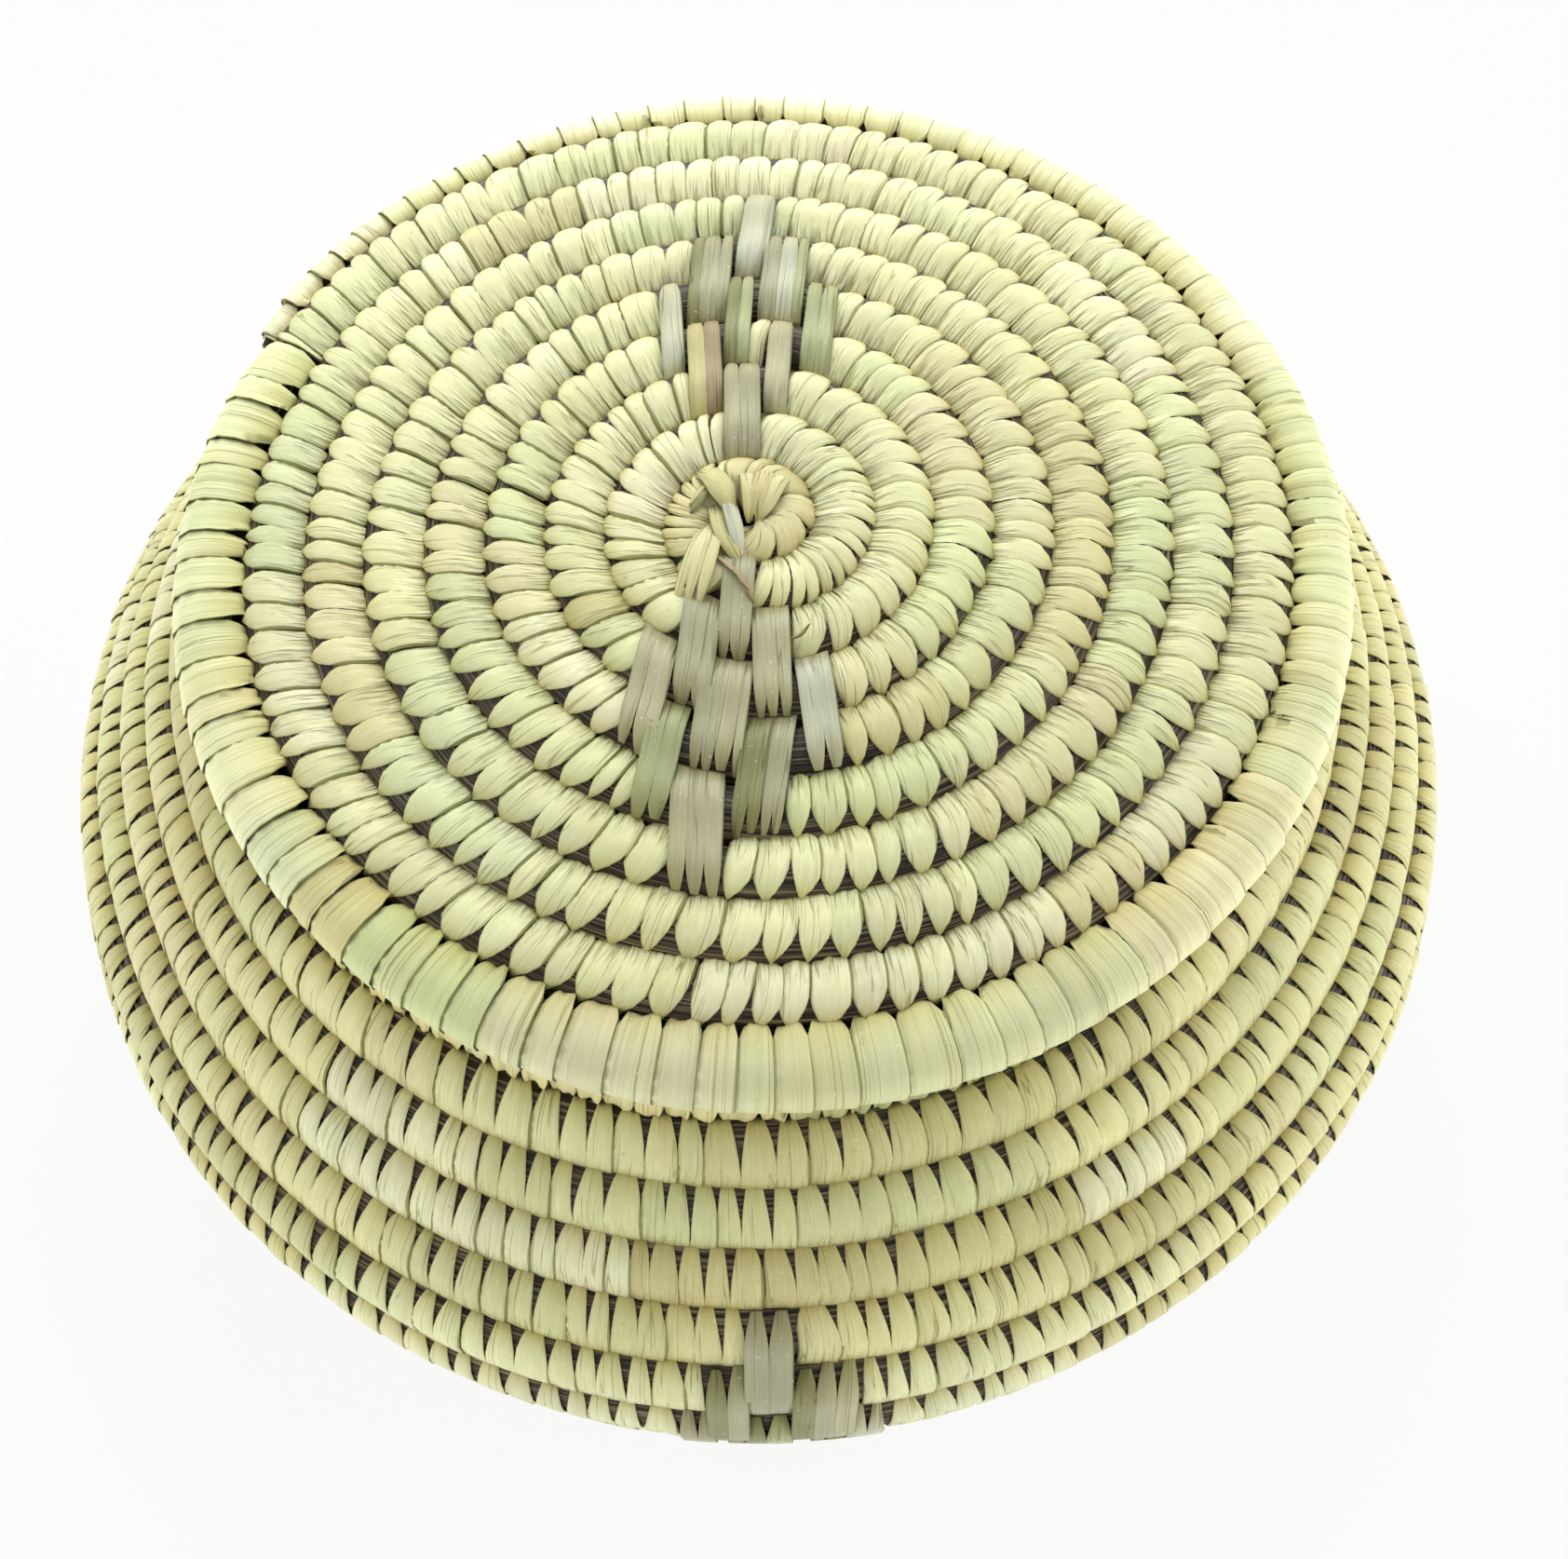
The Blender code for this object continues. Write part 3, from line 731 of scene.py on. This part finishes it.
class Diamond(namedtuple("Diamond", "point first_row tube pitch growth facing offset lean way strips")):
    """A diamond: the row that it begins at, the way of its fingers, 1 outwards or -1, and its strips."""

    def placed(self):
        """The strips, each with its layer and its place from the middle of its layer before it."""
        places = [(layer, i - (count - 1) / 2) for layer, count in enumerate(DIAMOND_STRIPS)
                  for i in range(count)]
        return [(*place, *strip) for place, strip in zip(places, self.strips)]

    def middle(self, layer, place):
        """How far beside the axis a strip lies, by its place from the middle of its layer."""
        return self.offset + self.lean * layer + place * STRIP_SPACING

    def path(self, layer, raised):
        """Row numbers and heights of the way over two rows, from the gathered end to the fingers."""
        start = self.first_row + layer
        near, far = (start + 0.5, start + 1.5) if self.way > 0 else (start + 1.5, start + 0.5)
        steps = [(near, side, up) for side, up in WRAP_WAY[1:7]]
        steps.append(((near + far) / 2, 0.0, STRIP_DIP))
        steps += [(far, side, up) for side, up in WRAP_WAY[6:11]]
        rows = np.array([row + self.way * side * self.tube / self.pitch for row, side, up in steps])
        return rows, np.array([up * self.tube + raised for row, side, up in steps])

    def lay(self, x, along, layer, raised, bulge):
        """Points on a strip: x beside the axis, a share of the way along, and a height over the path."""
        rows, lifts = self.path(layer, raised)
        gone = np.concatenate([[0], np.cumsum(np.hypot(np.diff(rows) * self.pitch, np.diff(lifts)))])
        row = np.interp(along * gone[-1], gone, rows)
        lift = np.interp(along * gone[-1], gone, lifts) + bulge
        radius, height, slope = np.array([self.point(r) for r in row]).T
        side = sin(self.facing)
        out = radius + lift * np.sin(slope)
        out = out - self.growth * np.arcsin(x / out) * side
        return np.stack([x, np.sqrt(out ** 2 - x ** 2) * side, height + lift * np.cos(slope)], 1)


def lid_point(row):
    share = min(1.0, row / LID_RIM_START)
    return row * LID_PITCH, LID_RIM_HEIGHT + LID_DOME_HEIGHT * (1 - share ** 2), 0.0


def wide_strip(name, diamond, strip, body):
    """One wide strip of leaf over two rows, slit at its far end into a finger for each tone."""
    layer, place, width, tones, nudge, lean = strip
    copies = Copies(STRIP)
    middle = diamond.middle(layer, place) + nudge
    seed = chance.random()
    parts = [chance.uniform(0.7, 1.3) for _ in tones.split()]
    for tone, (x, y, z) in zip(tones.split(), SLIT.fingers(STRIP, parts)):
        length = chance.uniform(0.95, 1.0)
        beside = middle + lean * (y - 0.5) + x * width / 2
        bulge = STRIP_THICKNESS * z + chance.uniform(-0.00003, 0.00003)
        shade = chance.uniform(0.94, 1.05)
        copies.add(diamond.lay(beside, y * length, layer, STRIP_RAISED, bulge), x, y,
                   [c * shade for c in linear(tone)], seed, width * 1000)
    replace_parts(copies.piece("leaf_" + name, DYED, body, "leaf_grey"), name)


def loose_leaves(name, blades, body):
    """Free strips of leaf, in one piece.

    Each has its corners in millimetres, its width, its number of fingers, its tone, the share of its
    width that it starts with, and for a turned one, how far its start and its end are, in degrees.
    """
    copies = Copies(STRIP)
    for corners, width, fingers, tone, start, *twist in blades:
        corners = np.array(corners, float) / 1000
        gone = np.concatenate([[0], np.cumsum(np.linalg.norm(np.diff(corners, axis=0), axis=1))])
        fine = np.linspace(0, gone[-1], 61)
        line = np.stack([np.interp(fine, gone, corners[:, i]) for i in range(3)], 1)
        for _ in range(60):
            line[1:-1] += (line[:-2] + line[2:] - 2 * line[1:-1]) / 4
        run = np.gradient(line, axis=0)
        run /= np.linalg.norm(run, axis=1)[:, None]
        side = np.cross(run, (0, 0, 1))
        side /= np.linalg.norm(side, axis=1)[:, None]
        up = np.cross(side, run)
        turned = np.radians(np.linspace(*(twist or (0, 0)), len(line)))[:, None]
        side, up = side * np.cos(turned) + up * np.sin(turned), up * np.cos(turned) - side * np.sin(turned)
        shape = Cut(start, notch=0.62, tip=0.22, overlap=1.0, pleat=0.2, scallop=0.02)
        seed = chance.random()
        for x, y, z in shape.fingers(STRIP, [1.0] * fingers):
            def at(column):
                return np.stack([np.interp(y * fine[-1], fine, column[:, i]) for i in range(3)], 1)
            wide = width / 2000 * x * np.interp(y, (0, 0.3, 0.6, 1), (start, 0.9, 1, 1))
            lift = LOOSE_THICKNESS * z + 0.0004 * (1 - x ** 2) * (width / 5)
            copies.add(at(line) + wide[:, None] * at(side) + lift[:, None] * at(up), x, y, linear(tone),
                       seed, width)
    return copies.piece(name, WRAPPED, body, "leaf_wrapping")


def covered_turns(diamond, turn_of):
    """The stretches of a bundle that a diamond's strips lie over, as turns."""
    found = []
    for layer, place, width, _, nudge, lean in diamond.placed():
        start = diamond.first_row + layer
        for row, share in ((start + 0.5, -0.25), (start + 1.5, 0.25)):
            share *= diamond.way
            middle = diamond.middle(layer, place) + nudge + lean * share
            radius = diamond.point(row)[0]
            around = [(middle + s * width / 2) / radius for s in (-1, 1)]
            turns = sorted(turn_of(row, a) for a in around)
            found.append((turns[0], turns[1]))
    found.sort()
    merged = [list(found[0])]
    for low, high in found[1:]:
        if low - merged[-1][1] < JOINED_WITHIN / (2 * pi * diamond.point(abs(high))[0]):
            merged[-1][1] = max(high, merged[-1][1])
        else:
            merged.append([low, high])
    return [tuple(m) for m in merged]


# ---------------------------------------------------------------- the basket

leaf = leaf_group()
WRAPPED = leaf_material("wrapped_leaf", leaf, pleats=0.9, veins=0.7, relief=0.0005, edge_line=0.30)
FLAT_LEAF = leaf_material("flat_leaf", leaf, pleats=0.45, veins=0.95, relief=0.0004, edge_line=0.20)
SMOOTH = leaf_material("rim_leaf", leaf, pleats=0.25, veins=0.5, relief=0.0003, edge_line=0.12)
DYED = leaf_material("dyed_leaf", leaf, pleats=0.5, veins=1.2, relief=0.0004, edge_line=0.24)
STALKS = stalk_material()

WRAP = leaf_template(ARCH, WRAP_PLACES)
WALL_WRAP = leaf_template(WALL_ARCH, WRAP_PLACES)
INSIDE_WRAP = leaf_template(LOW_ARCH, INSIDE_PLACES)
RIM_WRAP = leaf_template(RIM_ARCH, RIM_PLACES)
STRIP = leaf_template(FLAT_ARCH, STRIP_PLACES)
LID_CUT = Cut(gathered=0.74, notch=0.62, tip=0.08, overlap=1.12, vary=0.13, pleat=0.75, scallop=0.075,
              rounding=1.8)
WALL_CUT = Cut(gathered=1.0, notch=0.60, tip=0.46, overlap=1.12, vary=0.24, pleat=0.2, scallop=0.03,
               rounding=1.7)
PLAIN_CUT = Cut(gathered=0.5, notch=0.75, tip=0.4, overlap=1.04)
RIM_CUT = Cut(gathered=0.68, notch=1.0, tip=1.0, overlap=1.05, vary=0.0, pleat=2.2, scallop=0.03)
SLIT = Cut(gathered=0.92, notch=0.80, tip=0.46, overlap=1.0, pleat=0.4, scallop=0.02)
OUTSIDE, INSIDE, ROUND = Way(WRAP_WAY), Way(INSIDE_WAY), Way(RIM_WAY)
chance = Random(7)


# The diamonds. A strip has its width, a tone for each finger, how far it lies beside its place, and how
# far it leans towards its fingers.
ON_LID = dict(point=lid_point, tube=LID_COIL / 2, pitch=LID_PITCH, growth=LID_PITCH / (2 * pi), way=1)
ON_WALL = dict(point=wall_point, tube=BASKET_COIL / 2, pitch=BASKET_PITCH, growth=0.0, way=-1)
LID_FRONT = Diamond(**ON_LID, first_row=0.8194, facing=FRONT, offset=-0.0018, lean=-0.0012, strips=(
    (0.0058, "grey grey", -0.0012, -0.0014),
    (0.0067, "grey grey", 0.0013, -0.0025),
    (0.0068, "ash ash ash", -0.0018, 0.0007),
    (0.0064, "ash ash", 0.0022, -0.0050),
    (0.0092, "grey grey ash ash", -0.0012, -0.0027),
    (0.0063, "silver silver", -0.0005, 0.0028),
    (0.0065, "moss moss", -0.0024, -0.0045),
    (0.0090, "dark dark grey grey", -0.0008, -0.0030),
    (0.0092, "ash ash ash", -0.0028, -0.0006)))
LID_BACK = Diamond(**ON_LID, first_row=1.3194, facing=BACK, offset=-0.0020, lean=0.0005, strips=(
    (0.0069, "ash grey", -0.0004, -0.0004),
    (0.0064, "olive bark", 0.0, -0.0014),
    (0.0047, "ash", -0.0022, 0.0016),
    (0.0043, "silver", 0.0010, -0.0017),
    (0.0050, "dark moss", -0.0023, 0.0013),
    (0.0058, "moss moss", -0.0030, 0.0025),
    (0.0080, "dark grey grey", -0.0003, 0.0014),
    (0.0086, "grey silver moss", -0.0022, 0.0022),
    (0.0062, "silver", -0.0001, 0.0029)))
BASKET_FRONT = Diamond(**ON_WALL, first_row=3.5, facing=FRONT, offset=0.0024, lean=0.0012, strips=(
    (0.0090, "grey grey", 0.0003, 0.0),
    (0.0080, "dark grey", -0.0004, 0.0),
    (0.0122, "dark grey ash", 0.0012, 0.0008),
    (0.0066, "grey grey", 0.0005, 0.0),
    (0.0090, "dark moss", -0.0021, 0.0),
    (0.0070, "silver silver", 0.0, 0.0),
    (0.0070, "grey grey", 0.0, 0.0),
    (0.0070, "grey dark", 0.0, 0.0),
    (0.0070, "grey grey", 0.0, 0.0)))


def patch(row, low, high, tone):
    """A patch of another tone on the lid: the row it is nearest to, and its ends in degrees."""
    middle = LID_TURNS + (radians((low + high) / 2) - LID_END_ANGLE) / (2 * pi)
    middle -= round(middle - row)
    half = (high - low) / 720
    return middle - half, middle + half, tone


def wall_patch(row, low, high, tone):
    """A patch of another tone on the wall, counted in rows from the rim."""
    turns = row + ((radians((low + high) / 2) - MOUTH_END_ANGLE) / (2 * pi)) % 1.0
    half = (high - low) / 720
    return turns - half, turns + half, tone


LID_PATCHES = [patch(*p) for p in (
    (5.5, -30, 26, "straw"), (6.5, -59, -28, "blush"), (4.5, 20, 52, "blush"), (4.5, 4, 20, "green"),
    (4.5, -49, -14, "green"), (4.5, -71, -50, "straw"), (3.5, -65, -42, "blush"), (3.5, -42, -20, "green"),
    (3.5, -10, 28, "blush"), (7.5, -61, -34, "green"), (7.5, -3, 16, "green"), (8.5, -55, -46, "straw"),
    (8.9, 137, 161, "green"), (7.8, 114, 131, "straw"), (7.8, 150, 166, "green"), (6.9, 191, 203, "blush"),
    (6.9, 212, 242, "mint"), (5.9, 202, 220, "mint"), (4.9, 172, 192, "blush"), (4.9, 199, 208, "green"),
    (3.9, 155, 187, "green"), (3.9, 187, 205, "blush"), (2.9, 186, 200, "green"), (2.9, 200, 217, "olive"),
    (1.6, -60, 75, "pale"), (0.9, -60, 20, "straw"), (1.0, 20, 75, "olive"), (0.9, 75, 110, "sand"),
    (1.2, 140, 230, "straw"), (0.3, -180, -60, "straw"), (0.25, 110, 180, "olive"))]
RIM_PATCHES = [patch(*p) for p in (
    (9.5, -53, -30, "blush"), (9.9, 179, 215, "straw"), (9.2, 216, 224, "mint"), (9.2, 224, 232, "olive"),
    (9.2, 232, 247, "rim_green"), (9.3, 247, 268, "linen"), (9.4, 268, 306, "sage"))]
WALL_PATCHES = [wall_patch(*p) for p in (
    (1, -92, -47, "olive"), (1, -118, -92, "meadow"), (2, -105, -60, "meadow"), (3, -98, -62, "husk"),
    (3, -128, -98, "cream"), (4, -120, -96, "meadow"), (4, -96, -60, "reed"), (2, -24, -5, "olive"),
    (5, -118, -70, "pale"), (6, -125, -62, "cream"), (7, -125, -62, "pale"))]
MOUTH_PATCHES = [wall_patch(*p) for p in ((0, -88, -52, "mouth_green"), (0, -125, -88, "blush"))]

LID_PALETTE = ["pale"] * 10 + ["cream"] * 5 + ["green"] * 2 + ["mint", "straw", "straw"]
RIM_PALETTE = ["cream"] * 3 + ["pale"] * 7 + ["green"] * 2
WALL_PALETTE = ["reed"] * 7 + ["meadow"] * 3 + ["sand"] * 2 + ["pale", "cream", "olive", "straw"]

# a wrap's usual width in metres follows the turns that it is laid between
lid_edges = wrap_edges(LID, 0.16, LID_RIM_START, 0.0055, LID_LEAN)
lid_rim_edges = wrap_edges(LID_RIM, LID_RIM_START, LID_TURNS - 0.003, 0.0071, RIM_LEAN, lid_edges)
base_edges = wrap_edges(BASE, BASKET_TURNS - 0.4, WALL_ROWS, 0.0054, WALL_LEAN)
wall_edges = wrap_edges(WALL, WALL_ROWS, 1.0, 0.0051, WALL_LEAN, base_edges)
mouth_edges = wrap_edges(BASKET_RIM, 1.0, -0.2, 0.0048, WALL_LEAN, wall_edges)

covered = (covered_turns(LID_FRONT, lambda row, a: row + a / (2 * pi))
           + covered_turns(LID_BACK, lambda row, a: row - a / (2 * pi)))
lid_edges, lid_laid = clear_of(LID, lid_edges, covered)
front = ((FRONT - MOUTH_END_ANGLE) / (2 * pi)) % 1.0
covered = covered_turns(BASKET_FRONT, lambda row, a: row + front + a / (2 * pi))
wall_edges, wall_laid = clear_of(WALL, wall_edges, covered)

base_end = BASKET_TURNS - CENTRE_START_TURNS
for name, bundle, first, last, body, slot, replaced, options in (
        ("lid", LID, CENTRE_START_TURNS, LID_RIM_START, "lid", "leaf_wrapping", ["lid_coil"], {}),
        ("lid_rim", LID_RIM, LID_RIM_START, LID_TURNS, "lid", "leaf_rim", ["lid_rim_coil"], {"side": 0.96}),
        ("base", BASE, WALL_ROWS, base_end, "basket", "leaf_wrapping", ["base_coil"], {"step": 0.005}),
        ("wall", WALL, 1.0, WALL_ROWS, "basket", "leaf_wrapping",
         ["lower_belly_coil", "upper_belly_coil", "shoulder_coil"], {"step": 0.005}),
        ("filler", FILLER, FILLER_START, FILLER_END, "basket", "leaf_wrapping", [], {"stalks": 8, "step": 0.005}),
        ("basket_rim", BASKET_RIM, -0.2, 1.0, "basket", "leaf_rim", ["basket_rim_coil"], {"side": 0.96})):
    sweep_stalks(name + "_stalks", bundle, first, last, body, slot, replaced, **options)

LID_WRAPS = dict(template=WRAP, cut=LID_CUT, material=WRAPPED, slot="leaf_wrapping", way=OUTSIDE,
                 thickness=0.00046, lean=LID_LEAN, tilt=0.00017, doubles=0.4)
WALL_WRAPS = dict(template=WALL_WRAP, cut=WALL_CUT, material=FLAT_LEAF, slot="leaf_wrapping", way=OUTSIDE,
                  thickness=0.00036, lean=WALL_LEAN, tilt=0.00012, doubles=0.7)
INSIDE_WRAPS = dict(template=INSIDE_WRAP, cut=PLAIN_CUT, material=WRAPPED, slot="leaf_wrapping", way=INSIDE,
                    thickness=0.0003)
RIM_WRAPS = dict(template=RIM_WRAP, cut=RIM_CUT, material=SMOOTH, slot="leaf_rim", way=ROUND,
                 thickness=0.00026, tilt=0.0002, jitter=0.4, leaf_end=0.6)

lid_tones = tones_along(lid_edges, LID_PALETTE, LID_PATCHES)
lay_wraps("lid_wraps", LID, lid_edges, lid_tones, "lid", laid=lid_laid, **LID_WRAPS)
lay_wraps("lid_wraps_below", LID, lid_edges, lid_tones, "lid", lean=BELOW_LEAN, **INSIDE_WRAPS)
rim_tones = tones_along(lid_rim_edges, RIM_PALETTE, RIM_PATCHES)
lay_wraps("lid_rim_wraps", LID_RIM, lid_rim_edges, rim_tones, "lid", lean=RIM_LEAN, **RIM_WRAPS)
base_tones = tones_along(base_edges, WALL_PALETTE)
lay_wraps("base_wraps", BASE, base_edges, base_tones, "basket", **WALL_WRAPS)
lay_wraps("base_wraps_inside", BASE, base_edges, base_tones, "basket", lean=WALL_LEAN, **INSIDE_WRAPS)
wall_tones = tones_along(wall_edges, WALL_PALETTE, WALL_PATCHES)
# the wall's wraps in two pieces, parted where the shoulder ends
parted = min(range(len(wall_edges)), key=lambda i: abs(wall_edges[i] - 5.0))
for name, first, last in (("belly", 0, parted), ("shoulder", parted, len(wall_edges) - 1)):
    some = wall_edges[first:last + 1], wall_tones[first:last]
    lay_wraps(name + "_wraps", WALL, *some, "basket", laid=wall_laid[first:last], **WALL_WRAPS)
    lay_wraps(name + "_wraps_inside", WALL, *some, "basket", lean=WALL_LEAN, **INSIDE_WRAPS)
mouth_tones = tones_along(mouth_edges, WALL_PALETTE, MOUTH_PATCHES)
lay_wraps("basket_rim_wraps", BASKET_RIM, mouth_edges, mouth_tones, "basket", lean=WALL_LEAN, **RIM_WRAPS)

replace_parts(loose_leaves("centre_leaves", (
    (((-7.4, 4.6, 134.5), (-6.7, 1.0, 137.0), (-6.0, -3.2, 138.2), (-4.6, -7.0, 138.0), (-2.8, -10.6, 136.0)),
     4.2, 1, "olive", 0.7, 10, 20),
    (((-4.6, 5.0, 135.0), (-4.7, 1.6, 138.2), (-3.9, -2.0, 138.3), (-2.9, -6.0, 137.4), (-2.2, -9.4, 135.4)),
     3.6, 1, "silver", 0.6, 20, 30),
    (((-1.6, 10.4, 135.6), (-1.2, 7.0, 138.7), (-0.6, 3.2, 138.6), (-0.4, -1.0, 136.0)),
     3.6, 2, "sand", 0.9, 0, 10),
    (((1.9, 10.6, 135.6), (1.7, 7.2, 138.8), (0.9, 3.2, 138.7), (0.0, -1.2, 135.8)), 4.0, 2, "husk", 0.9, 0, 8),
    (((5.6, 9.4, 135.6), (4.6, 6.4, 138.7), (2.6, 2.6, 138.5), (0.6, -0.8, 135.8)), 3.4, 1, "straw", 0.9),
    (((-9.9, 10.4, 135.6), (-7.6, 7.6, 138.6), (-5.4, 3.4, 138.8), (-4.2, 0.0, 136.4)),
     5.2, 1, "olive", 0.8, 0, 15),
), "lid"), "lid_centre_tab")
loose_leaves("long_centre_leaf", (
    (((-7.4, -1.2, 135.4), (-8.4, -6.0, 138.8), (-9.9, -12.0, 139.2), (-11.4, -16.6, 138.0),
      (-12.0, -20.0, 134.8)), 6.0, 3, "straw", 0.35),
    (((-7.2, 6.6, 136.8), (-9.2, 3.6, 138.4), (-11.6, 0.0, 137.4)), 1.7, 1, "dark", 0.8),
    (((-7.9, 7.0, 137.2), (-9.9, 4.2, 138.4), (-11.9, 1.6, 137.6)), 1.2, 1, "olive", 0.8),
), "lid")
# two blades over the base's centre, three that close it from within and below
loose_leaves("base_centre_leaves", (
    (((-5.5, -1.4, 12.0), (-2.2, -0.6, 12.0), (0.0, 0.0, 9.6), (2.6, 0.8, 12.0), (5.6, 1.6, 12.0)),
     6.0, 1, "reed", 0.8),
    (((-1.6, 5.8, 12.2), (-0.8, 2.6, 12.4), (0.0, 0.0, 10.4), (1.0, -2.8, 12.3), (2.0, -6.0, 11.8)),
     4.0, 1, "sand", 0.8),
    (((-6.0, 1.0, 0.0), (-2.4, 0.6, 0.6), (0.0, 0.0, 1.8), (2.4, -0.6, 0.6), (6.0, -1.0, 0.0)),
     7.6, 1, "reed", 0.8, 180, 180),
    (((-8.0, 0.0, 5.0), (-4.0, 0.0, 5.2), (0.0, 0.0, 5.4), (4.0, 0.0, 5.2), (8.0, 0.0, 5.0)),
     13.0, 1, "husk", 0.9),
    (((-1.0, -6.0, 0.0), (-0.6, -2.4, 1.4), (0.0, 0.0, 2.6), (0.6, 2.4, 1.4), (1.0, 6.0, 0.0)),
     7.6, 1, "husk", 0.8, 180, 180),
), "basket")
loose_leaves("broken_stalk", (
    (((-7.6, -8.6, 137.2), (-5.0, -11.4, 138.6), (-1.9, -15.2, 138.9), (0.2, -19.2, 137.6)),
     1.1, 1, "bark", 0.6),
    (((-6.6, -9.4, 137.6), (-3.6, -13.4, 138.9), (-0.9, -17.2, 138.5)), 0.7, 1, "dark", 0.6),
    (((6.2, -26.6, 137.2), (8.4, -26.2, 138.2), (10.0, -24.2, 138.8)), 0.7, 1, "dark", 0.6),
), "lid")

for prefix, diamond, body in (("lid_front", LID_FRONT, "lid"), ("lid_back", LID_BACK, "lid"),
                              ("basket_front", BASKET_FRONT, "basket")):
    for i, strip in enumerate(diamond.placed()):
        wide_strip(f"{prefix}_strip_{i + 1}", diamond, strip, body)


# ---------------------------------------------------------------- floor, light and camera

def plain_floor():
    """A floor that the camera sees as nearly white, which keeps a little of the object's shadow near it."""
    deselect()
    bpy.ops.mesh.primitive_plane_add(size=6, location=(0, 0, -UNDERSIDE))
    floor_plane = bpy.context.object
    floor_plane.name = "floor"
    material, tree = new_material("white_floor")
    seen = tree.new("LightPath").outputs["Is Camera Ray"]
    distance = tree.new("VectorMath", tree.new("TexCoord").outputs["Object"], operation="LENGTH")
    away = tree.range(distance.outputs["Value"], 0.17, 0.30)
    near = tree.mix(away, (0.07, 0.07, 0.07), (0.0, 0.0, 0.0))
    shader = tree.set(tree.nodes["Principled BSDF"], Roughness=0.9, Specular_IOR_Level=0.0,
                      Base_Color=tree.mix(seen, (0.93, 0.93, 0.92), near))
    seen_glow = tree.math("MULTIPLY_ADD", away, 0.09, 0.57)
    glow = tree.new("Emission", Strength=tree.math("MULTIPLY_ADD", seen, seen_glow, 0.32))
    both = tree.new("AddShader", shader.outputs[0], glow.outputs[0])
    tree.set(tree.nodes["Material Output"], Surface=both.outputs[0])
    floor_plane.data.materials.append(material)


def studio():
    """A white world, and the lamps: the photo's light falls from the back and from both sides."""
    world = bpy.data.worlds.new("studio")
    world.use_nodes = True
    bpy.context.scene.world = world
    tree = Tree(world.node_tree)
    seen = tree.new("LightPath").outputs["Is Camera Ray"]
    tree.set(tree.nodes["Background"], Color=(1, 1, 1), Strength=tree.range(seen, 0.0, 1.0, 0.38, 0.98, "LINEAR"))
    for name, place, size, power in (("window", (-0.03, 0.41, 0.34), 0.5, 3.2),
                                     ("left_lamp", (-0.85, -0.14, 0.34), 0.7, 3.7),
                                     ("right_lamp", (0.85, -0.10, 0.34), 0.7, 5.2),
                                     ("front_fill", (-0.1, -1.05, 0.3), 1.0, 3.6)):
        lamp = bpy.data.lights.new(name, "AREA")
        lamp.size = size
        lamp.energy = power
        obj = bpy.data.objects.new(name, lamp)
        bpy.context.scene.collection.objects.link(obj)
        obj.location = place
        obj.rotation_euler = (Vector((0, 0, 0.06)) - Vector(place)).to_track_quat("-Z", "Y").to_euler()


def camera():
    elevation = radians(63.88)
    aim = Vector((0.0054, -0.0545, 0.1325))
    distance = 0.33
    focal_length, picture_width = 2062, 1684   # in the photo's pixels
    data = bpy.data.cameras.new("camera")
    data.sensor_width = 36
    data.lens = data.sensor_width * focal_length / picture_width
    data.shift_y = 0.0094
    obj = bpy.data.objects.new("camera", data)
    bpy.context.scene.collection.objects.link(obj)
    obj.location = aim + distance * Vector((0, -cos(elevation), sin(elevation)))
    obj.rotation_euler = (pi / 2 - elevation, 0, 0)
    bpy.context.scene.camera = obj


plain_floor()
studio()
camera()
bpy.context.scene.view_settings.view_transform = "Standard"
